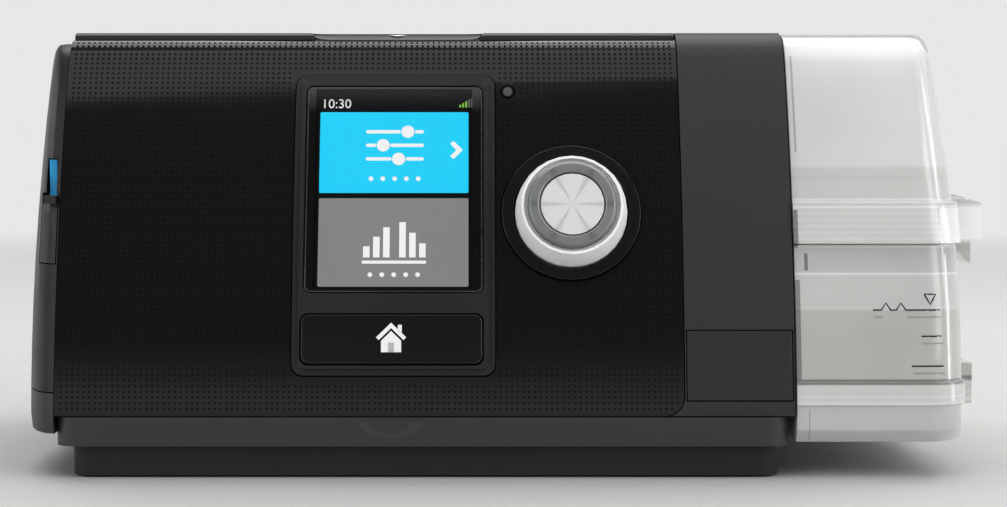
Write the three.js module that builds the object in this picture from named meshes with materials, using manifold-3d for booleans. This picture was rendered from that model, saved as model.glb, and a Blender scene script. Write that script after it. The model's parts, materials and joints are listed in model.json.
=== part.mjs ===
// Bedside breathing machine with a docked water tub, in millimetres.
// +X is the user's right, -Y the front, +Z up, origin on the table under the middle.
import * as THREE from 'three';
import { mergeVertices } from 'three/addons/utils/BufferGeometryUtils.js';
import Module from 'manifold-3d';

const wasm = await Module();
wasm.setup();

// Driving dimensions
const overallWidth = 255;        // left side panel to the lid clip
const overallDepth = 150;        // front of the skirt to the end of the air outlet
const overallHeight = 116;       // table to the top cover
const fit = 0.3;                 // gap between parts that meet
const slideGap = 0.8;            // running gap around the docked tub
const overrun = 2;               // how far a cutting tool passes a face
const shellWall = 2.5;           // moulded casing
const tubWall = 2;               // clear tub
const faceRadius = 268;          // side view curve of the front
const faceLeanDegrees = 7;       // lean of the front at its foot
const topEdgeRadius = 6;         // front edge of the top
const backEdgeRadius = 12;       // rear edge of the top
const sidePanelWidth = 11.5;
const dockCoverWidth = 28.3;
const tubGap = 0.5;              // dock cover to the tub's outer half
const tubOuterWidth = 44.1;
const clipReach = 8.2;           // tub's side to the end of its clip
const rearSetback = 3;           // back wall to the end of the air outlet
const footHeight = 0.5;          // plinth above the table
const plinthHeight = 7.7;
const skirtHeight = 7.5;
const capProud = 1.3;            // top cover above the fascia's top
const topSeamDepth = 4.1;        // fascia's top edge, front to back
const tubInnerWidth = 62.7;      // part of the tub inside the dock
const tubLidHeight = 55.85;      // top of the machine to the tub's joint
const weldDistance = 0.0001;
const fineSides = 28;
const plainSides = 16;
const smallSides = 10;
const cornerSteps = 4;

// Main planes worked out from the driving dimensions
const leftEnd = -overallWidth / 2;
const rightEnd = overallWidth / 2;
const frontEnd = -overallDepth / 2;
const fasciaLeft = leftEnd + sidePanelWidth;
const fasciaWidth = overallWidth - sidePanelWidth - dockCoverWidth - tubGap - tubOuterWidth
  - clipReach;
const fasciaRight = fasciaLeft + fasciaWidth;
const dockRight = fasciaRight + dockCoverWidth;
const tubOuterLeft = dockRight + tubGap;
const tubRight = tubOuterLeft + tubOuterWidth;
const backWall = overallDepth / 2 - rearSetback;
const plinthTop = footHeight + plinthHeight;
const skirtBottom = plinthTop + fit;
const skirtTop = skirtBottom + skirtHeight;
const floorTop = skirtBottom + shellWall;
const casingBottom = skirtTop + fit;
const halfCasing = (overallHeight - casingBottom) / 2;
const tubSplitZ = overallHeight - tubLidHeight;
const faceLean = THREE.MathUtils.degToRad(faceLeanDegrees);
const faceCentreY = frontEnd + faceRadius * Math.cos(faceLean);
const faceCentreZ = skirtTop - faceRadius * Math.sin(faceLean);
const fasciaTop = overallHeight - capProud;
const fasciaBack = faceY(fasciaTop, 0) + topSeamDepth;

// Surfaces and colours
function finish(color, roughness, metalness) {
  return new THREE.MeshStandardMaterial({ color, roughness, metalness });
}
const glossBlack = () => finish(0x141414, 0.12, 0);
const satinGrey = () => finish(0x3c3c3c, 0.55, 0);
const skirtGrey = () => finish(0x363634, 0.6, 0);
const innerPlastic = () => finish(0x55585c, 0.7, 0);
const paleRubber = () => finish(0xb8b8b4, 0.8, 0);
const darkRubber = () => finish(0x1b1b1b, 0.85, 0);
const brightMetal = () => finish(0xc4c6c8, 0.28, 1);
const steel = () => finish(0x8f9295, 0.35, 1);
const clearPlastic = () => new THREE.MeshStandardMaterial({
  color: 0xdfe0df, roughness: 0.2, metalness: 0, transparent: true, opacity: 0.5 });

// Solid helpers
function solidOf(geometry) {
  const bare = geometry.clone();
  bare.deleteAttribute('normal');
  bare.deleteAttribute('uv');
  const merged = mergeVertices(bare, weldDistance);
  const triVerts = new Uint32Array(merged.index.array);
  const vertProperties = new Float32Array(merged.attributes.position.array);
  if (signedVolume(vertProperties, triVerts) < 0) {
    for (let i = 0; i < triVerts.length; i += 3) {
      [triVerts[i], triVerts[i + 1]] = [triVerts[i + 1], triVerts[i]];
    }
  }
  return new wasm.Manifold(new wasm.Mesh({ numProp: 3, vertProperties, triVerts }));
}

function signedVolume(vertices, triangles) {
  const corner = (index) => new THREE.Vector3().fromArray(vertices, triangles[index] * 3);
  let total = 0;
  for (let i = 0; i < triangles.length; i += 3) {
    total += corner(i).dot(corner(i + 1).cross(corner(i + 2)));
  }
  return total;
}

function geometryOf(solid) {
  const mesh = solid.getMesh();
  const geometry = new THREE.BufferGeometry();
  geometry.setAttribute('position', new THREE.BufferAttribute(mesh.vertProperties, mesh.numProp));
  geometry.setIndex(new THREE.BufferAttribute(mesh.triVerts, 1));
  return geometry;
}

// A block between two values on each axis
function block(x0, x1, y0, y1, z0, z1) {
  const geometry = new THREE.BoxGeometry(x1 - x0, y1 - y0, z1 - z0);
  geometry.translate((x0 + x1) / 2, (y0 + y1) / 2, (z0 + z1) / 2);
  return solidOf(geometry);
}

// A turned form about local Z from [radius, height] points
function turned(profile, sides) {
  const points = profile.map(([radius, height]) => new THREE.Vector2(radius, height));
  const geometry = new THREE.LatheGeometry(points, sides);
  geometry.rotateX(Math.PI / 2);
  return geometry;
}

function discProfile(radius, low, high) {
  return [[0, low], [radius, low], [radius, high], [0, high]];
}

function ringProfile(inner, outer, low, high) {
  return [[inner, low], [outer, low], [outer, high], [inner, high], [inner, low]];
}

// Turned forms stood at a place, along Z, Y or X
const rodZ = (x, y, radius, low, high, sides) =>
  solidOf(turned(discProfile(radius, low, high), sides).translate(x, y, 0));
const rodY = (x, z, radius, low, high, sides) =>
  solidOf(turned(discProfile(radius, low, high), sides).rotateX(-Math.PI / 2).translate(x, 0, z));
const rodX = (y, z, radius, low, high, sides) =>
  solidOf(turned(discProfile(radius, low, high), sides).rotateY(Math.PI / 2).translate(0, y, z));
const ringZ = (x, y, inner, outer, low, high, sides) =>
  solidOf(turned(ringProfile(inner, outer, low, high), sides).translate(x, y, 0));
const ringX = (y, z, inner, outer, low, high, sides) =>
  solidOf(turned(ringProfile(inner, outer, low, high), sides).rotateY(Math.PI / 2).translate(0, y, z));

function roundedShape(left, right, low, high, radius) {
  const shape = new THREE.Shape();
  shape.moveTo(left + radius, low);
  shape.lineTo(right - radius, low);
  shape.absarc(right - radius, low + radius, radius, -Math.PI / 2, 0, false);
  shape.lineTo(right, high - radius);
  shape.absarc(right - radius, high - radius, radius, 0, Math.PI / 2, false);
  shape.lineTo(left + radius, high);
  shape.absarc(left + radius, high - radius, radius, Math.PI / 2, Math.PI, false);
  shape.lineTo(left, low + radius);
  shape.absarc(left + radius, low + radius, radius, Math.PI, Math.PI * 1.5, false);
  return shape;
}

// A rounded rectangle in local XY, drawn out along local Z
function slab(left, right, low, high, radius, bottom, top) {
  const shape = roundedShape(left, right, low, high, radius);
  const geometry = new THREE.ExtrudeGeometry(shape, {
    depth: top - bottom, bevelEnabled: false, curveSegments: cornerSteps });
  return solidOf(geometry.translate(0, 0, bottom));
}

// A side view outline of [x, z] points, drawn out between two Y values
function profileY(points, front, rear) {
  const shape = new THREE.Shape(points.map(([x, z]) => new THREE.Vector2(x, z)));
  const geometry = new THREE.ExtrudeGeometry(shape, { depth: rear - front, bevelEnabled: false });
  return solidOf(geometry.rotateX(Math.PI / 2).translate(0, rear, 0));
}

function joined(solids) {
  return solids.reduce((total, solid) => total.add(solid));
}

// Casing sections: side view outlines with a curved front, read off at shared heights
const levelShares = [0, 0.03, 0.1, 0.2, 0.32, 0.44, 0.56, 0.68, 0.8, 0.88, 0.93, 0.96, 0.985, 1];

function faceY(z, inset) {
  const rise = Math.max(z, skirtTop) - faceCentreZ;
  const reach = faceRadius - inset;
  return faceCentreY - Math.sqrt(reach * reach - rise * rise);
}

function edgePull(distance, radius) {
  if (distance >= radius) return 0;
  const rise = radius - Math.max(distance, 0);
  return radius - Math.sqrt(radius * radius - rise * rise);
}

function sectionRing(x, section, bulge) {
  const { inset, bottom, top, back, frontRound, backRound, lowRound } = section;
  const front = [];
  const rear = [];
  for (const share of levelShares) {
    const z = bottom + share * (top - bottom);
    const lowPull = edgePull(z - bottom, lowRound);
    const frontY = faceY(z, inset) + edgePull(top - z, frontRound) + lowPull;
    const rearY = back - edgePull(top - z, backRound) - lowPull;
    const shift = bulge ? bulge(z) : 0;
    front.push(new THREE.Vector3(x + shift, frontY, z));
    rear.push(new THREE.Vector3(x + shift, rearY, z));
  }
  return { front, rear };
}

// A closed form through sections that stand at rising X
function lofted(rings) {
  const levels = levelShares.length;
  const around = levels * 2;
  const positions = [];
  const triangles = [];
  for (const { front, rear } of rings) {
    const loop = [...front, ...[...rear].reverse()];
    for (const point of loop) positions.push(point.x, point.y, point.z);
  }
  for (let ring = 0; ring + 1 < rings.length; ring += 1) {
    for (let i = 0; i < around; i += 1) {
      const a = ring * around + i;
      const b = ring * around + (i + 1) % around;
      triangles.push(a, b, a + around, b, b + around, a + around);
    }
  }
  for (const ring of [0, rings.length - 1]) {
    const start = ring * around;
    for (let i = 0; i + 1 < levels; i += 1) {
      const frontLow = start + i;
      const rearLow = start + around - 1 - i;
      const quad = [frontLow, rearLow, rearLow - 1, frontLow, rearLow - 1, frontLow + 1];
      triangles.push(...(ring === 0 ? quad : quad.reverse()));
    }
  }
  const geometry = new THREE.BufferGeometry();
  geometry.setAttribute('position', new THREE.Float32BufferAttribute(positions, 3));
  geometry.setIndex(triangles);
  return solidOf(geometry);
}

function drawnOut(section, x0, x1) {
  return lofted([sectionRing(x0, section), sectionRing(x1, section)]);
}

// A section moved in by a wall on every side
function within(section, wall) {
  return {
    ...section,
    inset: section.inset + wall,
    bottom: section.bottom + wall,
    top: section.top - wall,
    back: section.back - wall,
    frontRound: Math.max(section.frontRound - wall, fit),
    backRound: Math.max(section.backRound - wall, fit),
    lowRound: Math.max(section.lowRound - wall, fit),
  };
}

// An end that rounds over towards positive or negative X, with a slight barrel
const endSteps = 6;
function roundedEnd(section, end, sign) {
  const rings = [];
  for (let step = 0; step <= endSteps; step += 1) {
    const turn = (step / endSteps) * (Math.PI / 2);
    const pull = end.shoulder * (1 - Math.cos(turn));
    const backPull = end.backShoulder * (1 - Math.cos(turn));
    const lipPull = end.lip * (1 - Math.cos(turn));
    const bulge = (z) => {
      const lift = (z - end.widestZ) / (section.top - end.widestZ);
      return sign * (end.depth - end.crown * lift * lift) * Math.sin(turn);
    };
    const drawn = {
      ...section,
      inset: section.inset + pull,
      back: section.back - backPull,
      top: section.top - lipPull,
      bottom: section.bottom + lipPull,
    };
    rings.push(sectionRing(end.seamX, drawn, bulge));
  }
  return sign < 0 ? rings.reverse() : rings;
}

const machine = new THREE.Group();
machine.name = 'bedside_breathing_machine';

function addPart(name, solid, material, parent = machine) {
  const mesh = new THREE.Mesh(geometryOf(solid), material);
  mesh.name = name;
  parent.add(mesh);
  return mesh;
}

// Frames that lie on the curved front: local X is the machine's X, local Y runs up the slope,
// and local Z points out of the front
function faceFrame(z) {
  const frame = new THREE.Group();
  const lean = Math.asin((z - faceCentreZ) / faceRadius);
  frame.rotation.x = Math.PI / 2 - lean;
  frame.position.set(0, faceY(z, 0), z);
  frame.updateMatrix();
  machine.add(frame);
  return frame;
}
const panelLift = 0.55;          // middle of the panel above the middle of the casing
const screenLift = 8.3;          // middle of the screen above the panel's
const homeRise = 19.5;           // home button above the foot of the casing
const panelZ = casingBottom + halfCasing + panelLift;
const panel = faceFrame(panelZ);
const screen = faceFrame(panelZ + screenLift);
const homePlace = faceFrame(casingBottom + homeRise);

function inPlace(frame, solid) {
  return solidOf(geometryOf(solid).applyMatrix4(frame.matrix));
}

// Base: plinth tray, chassis tray, feet and screws
const plinthInset = { left: 3.8, right: 3.5, front: 3.5, back: 6 };
const plinthLeft = fasciaLeft + plinthInset.left;
const plinthRight = dockRight - plinthInset.right;
const plinthFront = frontEnd + plinthInset.front;
const plinthBack = backWall - plinthInset.back;
const plinthCorner = 5;
const footRadius = 7;
const footRecess = 1.3;
const footInset = 13;
const screwRadius = 1.5;
const screwHeadRadius = 3;
const screwHeadHeight = 1.4;
const screwSocketSides = 6;
const screwInsetX = 28;
const screwInsetY = 24;
const bossWall = 2.4;

const basePlaces = [[-1, -1], [1, -1], [-1, 1], [1, 1]];
const plinthMiddleX = (plinthLeft + plinthRight) / 2;
const plinthMiddleY = (plinthFront + plinthBack) / 2;
function basePlace([sideX, sideY], insetX, insetY) {
  const halfX = (plinthRight - plinthLeft) / 2 - insetX;
  const halfY = (plinthBack - plinthFront) / 2 - insetY;
  return [plinthMiddleX + sideX * halfX, plinthMiddleY + sideY * halfY];
}
const footPlaces = basePlaces.map((place) => basePlace(place, footInset, footInset));
const screwPlaces = basePlaces.map((place) => basePlace(place, screwInsetX, screwInsetY));
const screwHole = screwRadius + fit;

function makePlinth() {
  const plinthFloor = footHeight + shellWall;
  const outer = slab(plinthLeft, plinthRight, plinthFront, plinthBack, plinthCorner,
    footHeight, plinthTop);
  const inner = slab(plinthLeft + shellWall, plinthRight - shellWall, plinthFront + shellWall,
    plinthBack - shellWall, plinthCorner - shellWall, plinthFloor, plinthTop + overrun);
  let solid = outer.subtract(inner);
  for (const [x, y] of footPlaces) {
    solid = solid.subtract(rodZ(x, y, footRadius + fit, footHeight - overrun,
      footHeight + footRecess, plainSides));
  }
  for (const [x, y] of screwPlaces) {
    solid = solid.add(rodZ(x, y, screwHole + bossWall, plinthFloor - fit, plinthTop, smallSides));
    solid = solid.subtract(rodZ(x, y, screwHole, footHeight - overrun, plinthTop + overrun,
      smallSides));
    solid = solid.subtract(rodZ(x, y, screwHeadRadius + fit, footHeight - overrun,
      footHeight + screwHeadHeight + fit, smallSides));
  }
  return solid;
}

// The left end, split into the side panel above and the chassis corner below
const sideDrop = 3;              // side panel below the top cover
const sideSetback = 2;           // side panel in front of the back wall
const sideWidestDrop = 78;       // side panel's top to its widest level
const sidePanelTop = overallHeight - sideDrop;
const sideBaseBottom = 11.5;
const sideSplitZ = 22.35;
const sideRear = backWall - sideSetback;
const sideSection = {
  inset: 0.8, bottom: sideBaseBottom, top: sidePanelTop, back: sideRear,
  frontRound: 5, backRound: 10, lowRound: 1.5,
};
const sideEnd = {
  seamX: fasciaLeft - fit, depth: sidePanelWidth - fit, crown: 2.2,
  widestZ: sidePanelTop - sideWidestDrop, shoulder: 42, backShoulder: 10, lip: 0.5,
};
const sideOuter = lofted(roundedEnd(sideSection, sideEnd, -1));
const sideInnerEnd = { ...sideEnd, seamX: fasciaLeft, depth: sideEnd.depth + fit - shellWall };
const sideInner = lofted([
  ...roundedEnd(within(sideSection, shellWall), sideInnerEnd, -1),
  sectionRing(fasciaLeft + overrun, within(sideSection, shellWall)),
]);
const wide = overallWidth;       // longer than any part, for cutting tools

const skirtCorner = 6;
const skirtInset = 1;
const skirtRight = dockRight - skirtInset;

// The tub's inner half, which sits in the dock
const tubInnerLeft = dockRight - tubInnerWidth;
const tubInnerDrop = 12;
const tubInnerSetback = 30;
const tubInnerSection = {
  inset: 18, bottom: 13.6, top: overallHeight - tubInnerDrop, back: backWall - tubInnerSetback,
  frontRound: 4, backRound: 4, lowRound: 1.5,
};
const linerWall = 2;
const linerEndGap = 2;
const linerLeft = tubInnerLeft - linerEndGap - linerWall;
const linerBore = {
  ...within(tubInnerSection, -slideGap), bottom: tubInnerSection.bottom - fit,
};
const linerOuter = within(linerBore, -linerWall);
const linerHole = within(linerOuter, -fit);

function makeChassis() {
  const outer = slab(fasciaLeft, skirtRight, frontEnd, backWall, skirtCorner,
    skirtBottom, skirtTop);
  const inner = slab(fasciaLeft + shellWall, skirtRight - shellWall, frontEnd + shellWall,
    backWall - shellWall, skirtCorner - shellWall, floorTop, skirtTop + overrun);
  let solid = outer.subtract(inner);
  const cornerSolid = sideOuter.subtract(sideInner);
  const belowSplit = block(-wide, fasciaLeft, -wide, wide, 0, sideSplitZ - fit);
  const bridge = block(fasciaLeft - sidePanelWidth / 2, fasciaLeft + shellWall,
    frontEnd + skirtCorner * 2, backWall - skirtCorner * 2, sideBaseBottom + fit,
    sideBaseBottom + fit + shellWall);
  solid = joined([solid, cornerSolid.intersect(belowSplit), bridge]);
  const passage = drawnOut({ ...linerHole, bottom: floorTop }, skirtRight - shellWall - overrun,
    skirtRight + overrun);
  solid = solid.subtract(passage);
  for (const [x, y] of screwPlaces) {
    solid = solid.subtract(rodZ(x, y, screwHole, 0, floorTop + overrun, smallSides));
  }
  return solid;
}

function makeFoot([x, y]) {
  return rodZ(x, y, footRadius, 0, footHeight + footRecess - fit, plainSides);
}

function makeBaseScrew([x, y]) {
  const headBottom = footHeight + fit;
  const headTop = headBottom + screwHeadHeight - fit;
  const head = rodZ(x, y, screwHeadRadius, headBottom, headTop, smallSides);
  const socket = rodZ(x, y, screwRadius / 2, 0, headBottom + screwHeadHeight / 2,
    screwSocketSides);
  const shank = rodZ(x, y, screwRadius, headBottom + screwHeadHeight / 2, floorTop, smallSides);
  return head.add(shank).subtract(socket);
}

addPart('base_plinth', makePlinth(), skirtGrey());
addPart('base_chassis', makeChassis(), skirtGrey());
footPlaces.forEach((place, i) => addPart(`rubber_foot_${i + 1}`, makeFoot(place), darkRubber()));
screwPlaces.forEach((place, i) => addPart(`base_screw_${i + 1}`, makeBaseScrew(place), steel()));

// Screen, home button and light sensor
const arcDrop = (v) => Math.sqrt(faceRadius * faceRadius - v * v) - faceRadius;
const dialInset = 29;            // dial's middle to the seam beside the dock cover
const dial = { x: fasciaRight - dialInset, v: 1.6 };
const bezelWidth = 52.5;
const bezelGap = 19.9;           // display surround to the dial's middle
const bezelMargin = { low: 8.75, high: 9.45 };
const bezelRight = dial.x - bezelGap;
const bezel = {
  left: bezelRight - bezelWidth, right: bezelRight, low: bezelMargin.low - halfCasing,
  high: halfCasing - bezelMargin.high, radius: 3, depth: 4.4, rise: 1.2,
};
const bezelStep = 1.5;
const lensBorder = { left: 3, right: 3.2, low: 12.5, high: 12.3 };
const lens = {
  left: bezel.left + lensBorder.left, right: bezel.right - lensBorder.right,
  low: bezel.low + lensBorder.low, high: bezel.high - lensBorder.high, radius: 2, thickness: 1.4,
};
const lensFront = bezel.rise - fit + arcDrop(lens.high);
const lensLedge = 1.8;
const lcdThickness = 4.2;
const homeBorder = { left: 2.3, right: 3.2 };
const home = {
  left: bezel.left + homeBorder.left, right: bezel.right - homeBorder.right, low: -6.5, high: 6.5,
  radius: 2, back: -2.6, front: 1.5,
};
const sensorAside = 3.5;         // light sensor beside the display surround
const sensorDrop = 4.7;          // and below its top
const sensor = {
  x: bezel.right + sensorAside, v: bezel.high - sensorDrop, radius: 1.8, length: 2.8,
};
const boardMargin = { left: 7, right: 6.4, low: 2.9, high: 1.6 };
const board = {
  left: bezel.left - boardMargin.left, right: fasciaRight - boardMargin.right,
  low: bezel.low - boardMargin.low, high: bezel.high + boardMargin.high, front: -10.9,
  thickness: 1.6,
};
const switchHalf = 3;
const switchHeight = 3.4;
const pressClear = 1.2;          // free space under a button's stem
const stemRadius = 2.5;
const deep = 12;                 // depth of a cutting prism through the front

function slabOf(outline, grow, bottom, top) {
  return slab(outline.left - grow, outline.right + grow, outline.low - grow,
    outline.high + grow, Math.max(outline.radius + grow, fit), bottom, top);
}

const frontSection = {
  inset: 0, bottom: casingBottom, top: overallHeight, back: backWall, frontRound: fit,
  backRound: fit, lowRound: fit,
};

// A curved plate that follows the front between two depths
function frontBand(rise, depth, left, right) {
  return drawnOut({ ...frontSection, inset: -rise }, left, right)
    .subtract(drawnOut({ ...frontSection, inset: depth }, left - overrun, right + overrun));
}

function makeBezel() {
  const left = bezel.left - overrun;
  const right = bezel.right + overrun;
  const base = frontBand(bezel.rise - bezelStep / 2, bezel.depth, left, right)
    .intersect(inPlace(panel, slabOf(bezel, 0, -deep, deep)));
  const raised = frontBand(bezel.rise, bezel.depth, left, right)
    .intersect(inPlace(panel, slabOf(bezel, -bezelStep, -deep, deep)));
  return base.add(raised)
    .subtract(inPlace(screen, slabOf(lens, fit, lensFront - lens.thickness - fit, deep)))
    .subtract(inPlace(screen, slabOf(lens, -lensLedge, -deep, deep)))
    .subtract(inPlace(homePlace, slabOf(home, fit, -deep, deep)));
}

const homeMiddleX = (home.left + home.right) / 2;
const homeHeightOnPanel = new THREE.Vector3(homeMiddleX, 0, 0).applyMatrix4(homePlace.matrix)
  .applyMatrix4(panel.matrix.clone().invert());
const homeStemBottom = board.front + switchHeight + pressClear - homeHeightOnPanel.z;
function makeHomeButton() {
  const cap = slabOf(home, -fit / 2, home.back, home.front);
  const stem = rodZ(homeMiddleX, 0, stemRadius, homeStemBottom, home.back + fit, smallSides);
  return cap.add(stem);
}

// Dial on its pressing, turning shaft
const dialTravel = 1;
const trim = { inner: 15.2, outer: 18.2, low: -2.4, high: 0.8 };
const skirt = { radius: 14.75, low: -2, shaftRadius: 3, capSeat: 6, rimRadius: 13.2, rimTop: 7.7 };
const skirtBellyShares = [[0.99, 0.32], [0.96, 0.66]];
const capRing = { inner: 8.5, outer: 11.6, high: 8.8, chamfer: 0.7 };
const capDiscHeight = 8.4;
const encoder = { half: 6.5, front: -5.5, wellDepth: 4, rotorWall: 1.6, rotorDrop: 0.4 };
const shaftTip = encoder.front - encoder.wellDepth + dialTravel + fit;
const rotorInner = 3.3;
const wellRadius = rotorInner + encoder.rotorWall + fit;

function makeDialSkirt() {
  const { radius, low, shaftRadius, capSeat, rimRadius, rimTop } = skirt;
  const rise = rimTop - low;
  const belly = skirtBellyShares.map(([r, h]) => [radius * r, low + rise * h]);
  const lipWall = (rimRadius - capRing.outer - fit) / 2;
  return solidOf(turned([
    [0, shaftTip], [shaftRadius, shaftTip],
    [shaftRadius, low], [radius * skirtBellyShares[0][0], low], [radius, low + dialTravel],
    ...belly, [rimRadius, rimTop], [rimRadius - lipWall, rimTop], [rimRadius - lipWall, capSeat],
    [0, capSeat],
  ], fineSides));
}

function makeCapRing() {
  const { inner, outer, high, chamfer } = capRing;
  const low = skirt.capSeat + fit;
  return solidOf(turned([
    [inner, low], [outer, low], [outer, high - chamfer], [outer - chamfer, high],
    [inner + chamfer / 2, high], [inner, high - chamfer / 2], [inner, low],
  ], fineSides));
}

const boardFrontSeat = board.front + fit;
function makeEncoder() {
  const { half, front, wellDepth } = encoder;
  const body = block(dial.x - half, dial.x + half, dial.v - half, dial.v + half,
    boardFrontSeat, front);
  const well = rodZ(dial.x, dial.v, wellRadius, front - wellDepth, front + overrun, plainSides);
  return body.subtract(well);
}

// The part of the encoder that turns with the dial's shaft
function makeRotor() {
  return ringZ(dial.x, dial.v, rotorInner, rotorInner + encoder.rotorWall,
    encoder.front - encoder.wellDepth + fit, encoder.front - encoder.rotorDrop, plainSides);
}

function makeHomeSwitch() {
  const { x, y } = homeHeightOnPanel;
  return block(x - switchHalf, x + switchHalf, y - switchHalf, y + switchHalf, boardFrontSeat,
    board.front + switchHeight);
}

// Start/stop button on the top edge and its switch behind the board
const startInset = { left: 3.3, right: 3 };   // from the ends of the display surround
const startSink = 0.6;           // button below the top cover
const startHeight = 6;
const startDepth = { front: 1.6, back: 9.5 }; // in front of and behind the seam
const startTop = overallHeight - startSink;
const startButton = {
  left: bezel.left + startInset.left, right: bezel.right - startInset.right,
  front: fasciaBack - startDepth.front, back: fasciaBack + startDepth.back, top: startTop,
  bottom: startTop - startHeight,
};
const startStem = { setback: 4, radius: 2.5, length: 5.6 };
const startStemY = fasciaBack + startStem.setback;
const startSwitch = { half: 5, height: 9.4, rise: 0.4, depth: 9 };
const buttonMiddleX = (startButton.left + startButton.right) / 2;
const pillRadius = (startButton.back - startButton.front) / 2;

function startPill(grow, bottom, top) {
  return slab(startButton.left - grow, startButton.right + grow, startButton.front - grow,
    startButton.back + grow, pillRadius + grow - weldDistance, bottom, top);
}

const fasciaSection = {
  inset: 0, bottom: casingBottom, top: fasciaTop, back: backWall,
  frontRound: topEdgeRadius, backRound: fit, lowRound: fit,
};
const buttonDrop = 0.4;          // button surface below the fascia's curve

function makeStartButton() {
  const pill = startPill(0, startButton.bottom, startButton.top);
  const noseSection = { ...fasciaSection, inset: buttonDrop, top: startButton.top };
  const nose = drawnOut(noseSection, startButton.left - overrun, startButton.right + overrun);
  const stem = rodZ(buttonMiddleX, startStemY, startStem.radius,
    startButton.bottom - startStem.length, startButton.bottom + fit, smallSides);
  return pill.intersect(nose).add(stem);
}

function makeStartSwitch() {
  const back = board.front - board.thickness - fit;
  const high = board.high + startSwitch.rise;
  return block(buttonMiddleX - startSwitch.half, buttonMiddleX + startSwitch.half,
    high - startSwitch.height, high, back - startSwitch.depth, back);
}

function makeBoard() {
  return block(board.left, board.right, board.low, board.high,
    board.front - board.thickness, board.front);
}

// The fascia's lower right corner is rounded, and the dock cover fills the place
const lowerCorner = 5;
const lowerCornerX = fasciaRight - fit - lowerCorner;
const lowerCornerZ = casingBottom + lowerCorner;
function cornerPlace(grow, right) {
  return block(lowerCornerX, right, -wide, frontEnd / 2, casingBottom - overrun, lowerCornerZ)
    .subtract(rodY(lowerCornerX, lowerCornerZ, lowerCorner + grow, -wide, wide, fineSides));
}

// Glossy front with openings, and posts that carry the circuit board
const postRadius = 2.6;
const postInset = 3;
const postPlaces = [
  [board.left + postInset, board.low + postInset * 2],
  [board.left + postInset, board.high - postInset],
  [board.right - postInset, board.low + postInset * 2],
  [board.right - postInset, board.high - postInset],
];

function makeFascia() {
  const left = fasciaLeft;
  const right = fasciaRight - fit;
  const outer = drawnOut(fasciaSection, left, right);
  const inner = drawnOut({ ...within(fasciaSection, shellWall), bottom: casingBottom - overrun },
    left - overrun, right + overrun);
  const ahead = block(-wide, wide, -wide, fasciaBack, -wide, wide);
  let solid = outer.intersect(ahead).subtract(inner);
  for (const [x, v] of postPlaces) {
    solid = solid.add(inPlace(panel, rodZ(x, v, postRadius, boardFrontSeat,
      arcDrop(v) - shellWall / 2, smallSides)));
  }
  const cuts = [
    slabOf(bezel, fit, -deep, deep),
    rodZ(dial.x, dial.v, trim.outer + fit, -overrun * 2, overrun, fineSides),
    rodZ(sensor.x, sensor.v, sensor.radius + fit, -overrun * 4, overrun, smallSides),
  ];
  for (const cut of cuts) solid = solid.subtract(inPlace(panel, cut));
  const startCut = startPill(fit + fit / 2, startButton.bottom - overrun, overallHeight + overrun);
  return solid.subtract(startCut).subtract(cornerPlace(0, fasciaRight));
}

addPart('front_fascia', makeFascia(), glossBlack());
addPart('display_bezel', makeBezel(), satinGrey());
addPart('screen_lens', slabOf(lens, 0, lensFront - lens.thickness, lensFront), glossBlack(), screen);
const lcdFront = lensFront - lens.thickness - fit;
addPart('lcd_module', slabOf(lens, -lensLedge - fit, lcdFront - lcdThickness, lcdFront),
  finish(0x27a9d8, 0.4, 0), screen);
addPart('home_button', makeHomeButton(), glossBlack(), homePlace);
const sensorTop = arcDrop(sensor.v) + fit;
addPart('light_sensor_lens', rodZ(sensor.x, sensor.v, sensor.radius, sensorTop - sensor.length,
  sensorTop, smallSides), satinGrey(), panel);
addPart('start_stop_button', makeStartButton(), satinGrey());
addPart('main_circuit_board', makeBoard(), finish(0x1f6b3a, 0.6, 0), panel);
addPart('rotary_encoder', makeEncoder(), steel(), panel);
addPart('encoder_rotor', makeRotor(), brightMetal(), panel);
addPart('home_switch', makeHomeSwitch(), darkRubber(), panel);
addPart('start_switch', makeStartSwitch(), darkRubber(), panel);

const dialGroup = new THREE.Group();
dialGroup.position.set(dial.x, dial.v, 0);
panel.add(dialGroup);
addPart('dial_trim_ring', solidOf(turned(ringProfile(trim.inner, trim.outer, trim.low, trim.high),
  fineSides)), glossBlack(), dialGroup);
addPart('dial_skirt', makeDialSkirt(), finish(0xf2f2f0, 0.3, 0), dialGroup);
addPart('dial_cap_ring', makeCapRing(), brightMetal(), dialGroup);
addPart('dial_cap_disc', rodZ(0, 0, capRing.inner - fit, skirt.capSeat + fit, capDiscHeight,
  fineSides), brightMetal(), dialGroup);

// Rear openings: filter cover and power inlet
const filterDoorInset = 12;      // from the left end of the top cover
const filterDoorWidth = 48;
const filterDoorRise = 2;        // above the top of the intake box
const filterDoorLeft = fasciaLeft + filterDoorInset;
const filterDoorRight = filterDoorLeft + filterDoorWidth;
const inletShift = 2.8;          // from halfway between the filter cover and the dock cover
const inlet = {
  x: (filterDoorRight + fasciaRight) / 2 + inletShift, z: 26, half: 6.6, bore: 4, boreDepth: 12,
  length: 15.4,
};
const intakeInset = { left: 4, front: 18.5, back: 10, top: 56 };
const intakeGap = { dock: 24, inlet: 10 };   // to the tub's inner half and to the power inlet
const intake = {
  left: fasciaLeft + intakeInset.left,
  right: Math.min(tubInnerLeft - intakeGap.dock, inlet.x - intakeGap.inlet),
  front: fasciaBack + intakeInset.front, back: backWall - intakeInset.back,
  top: overallHeight - intakeInset.top,
};
const filterDoor = {
  left: filterDoorLeft, right: filterDoorRight, low: 22, high: intake.top + filterDoorRise,
};
const filterHinge = { radius: 1.6, clear: 0.4, pin: 0.9, pinReach: 1.5 };
const filterHingeX = filterDoor.left + filterHinge.radius;
const filterHingeY = backWall - filterHinge.radius;
const louvre = { pitch: 5.2, height: 2, margin: 7 };
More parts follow.
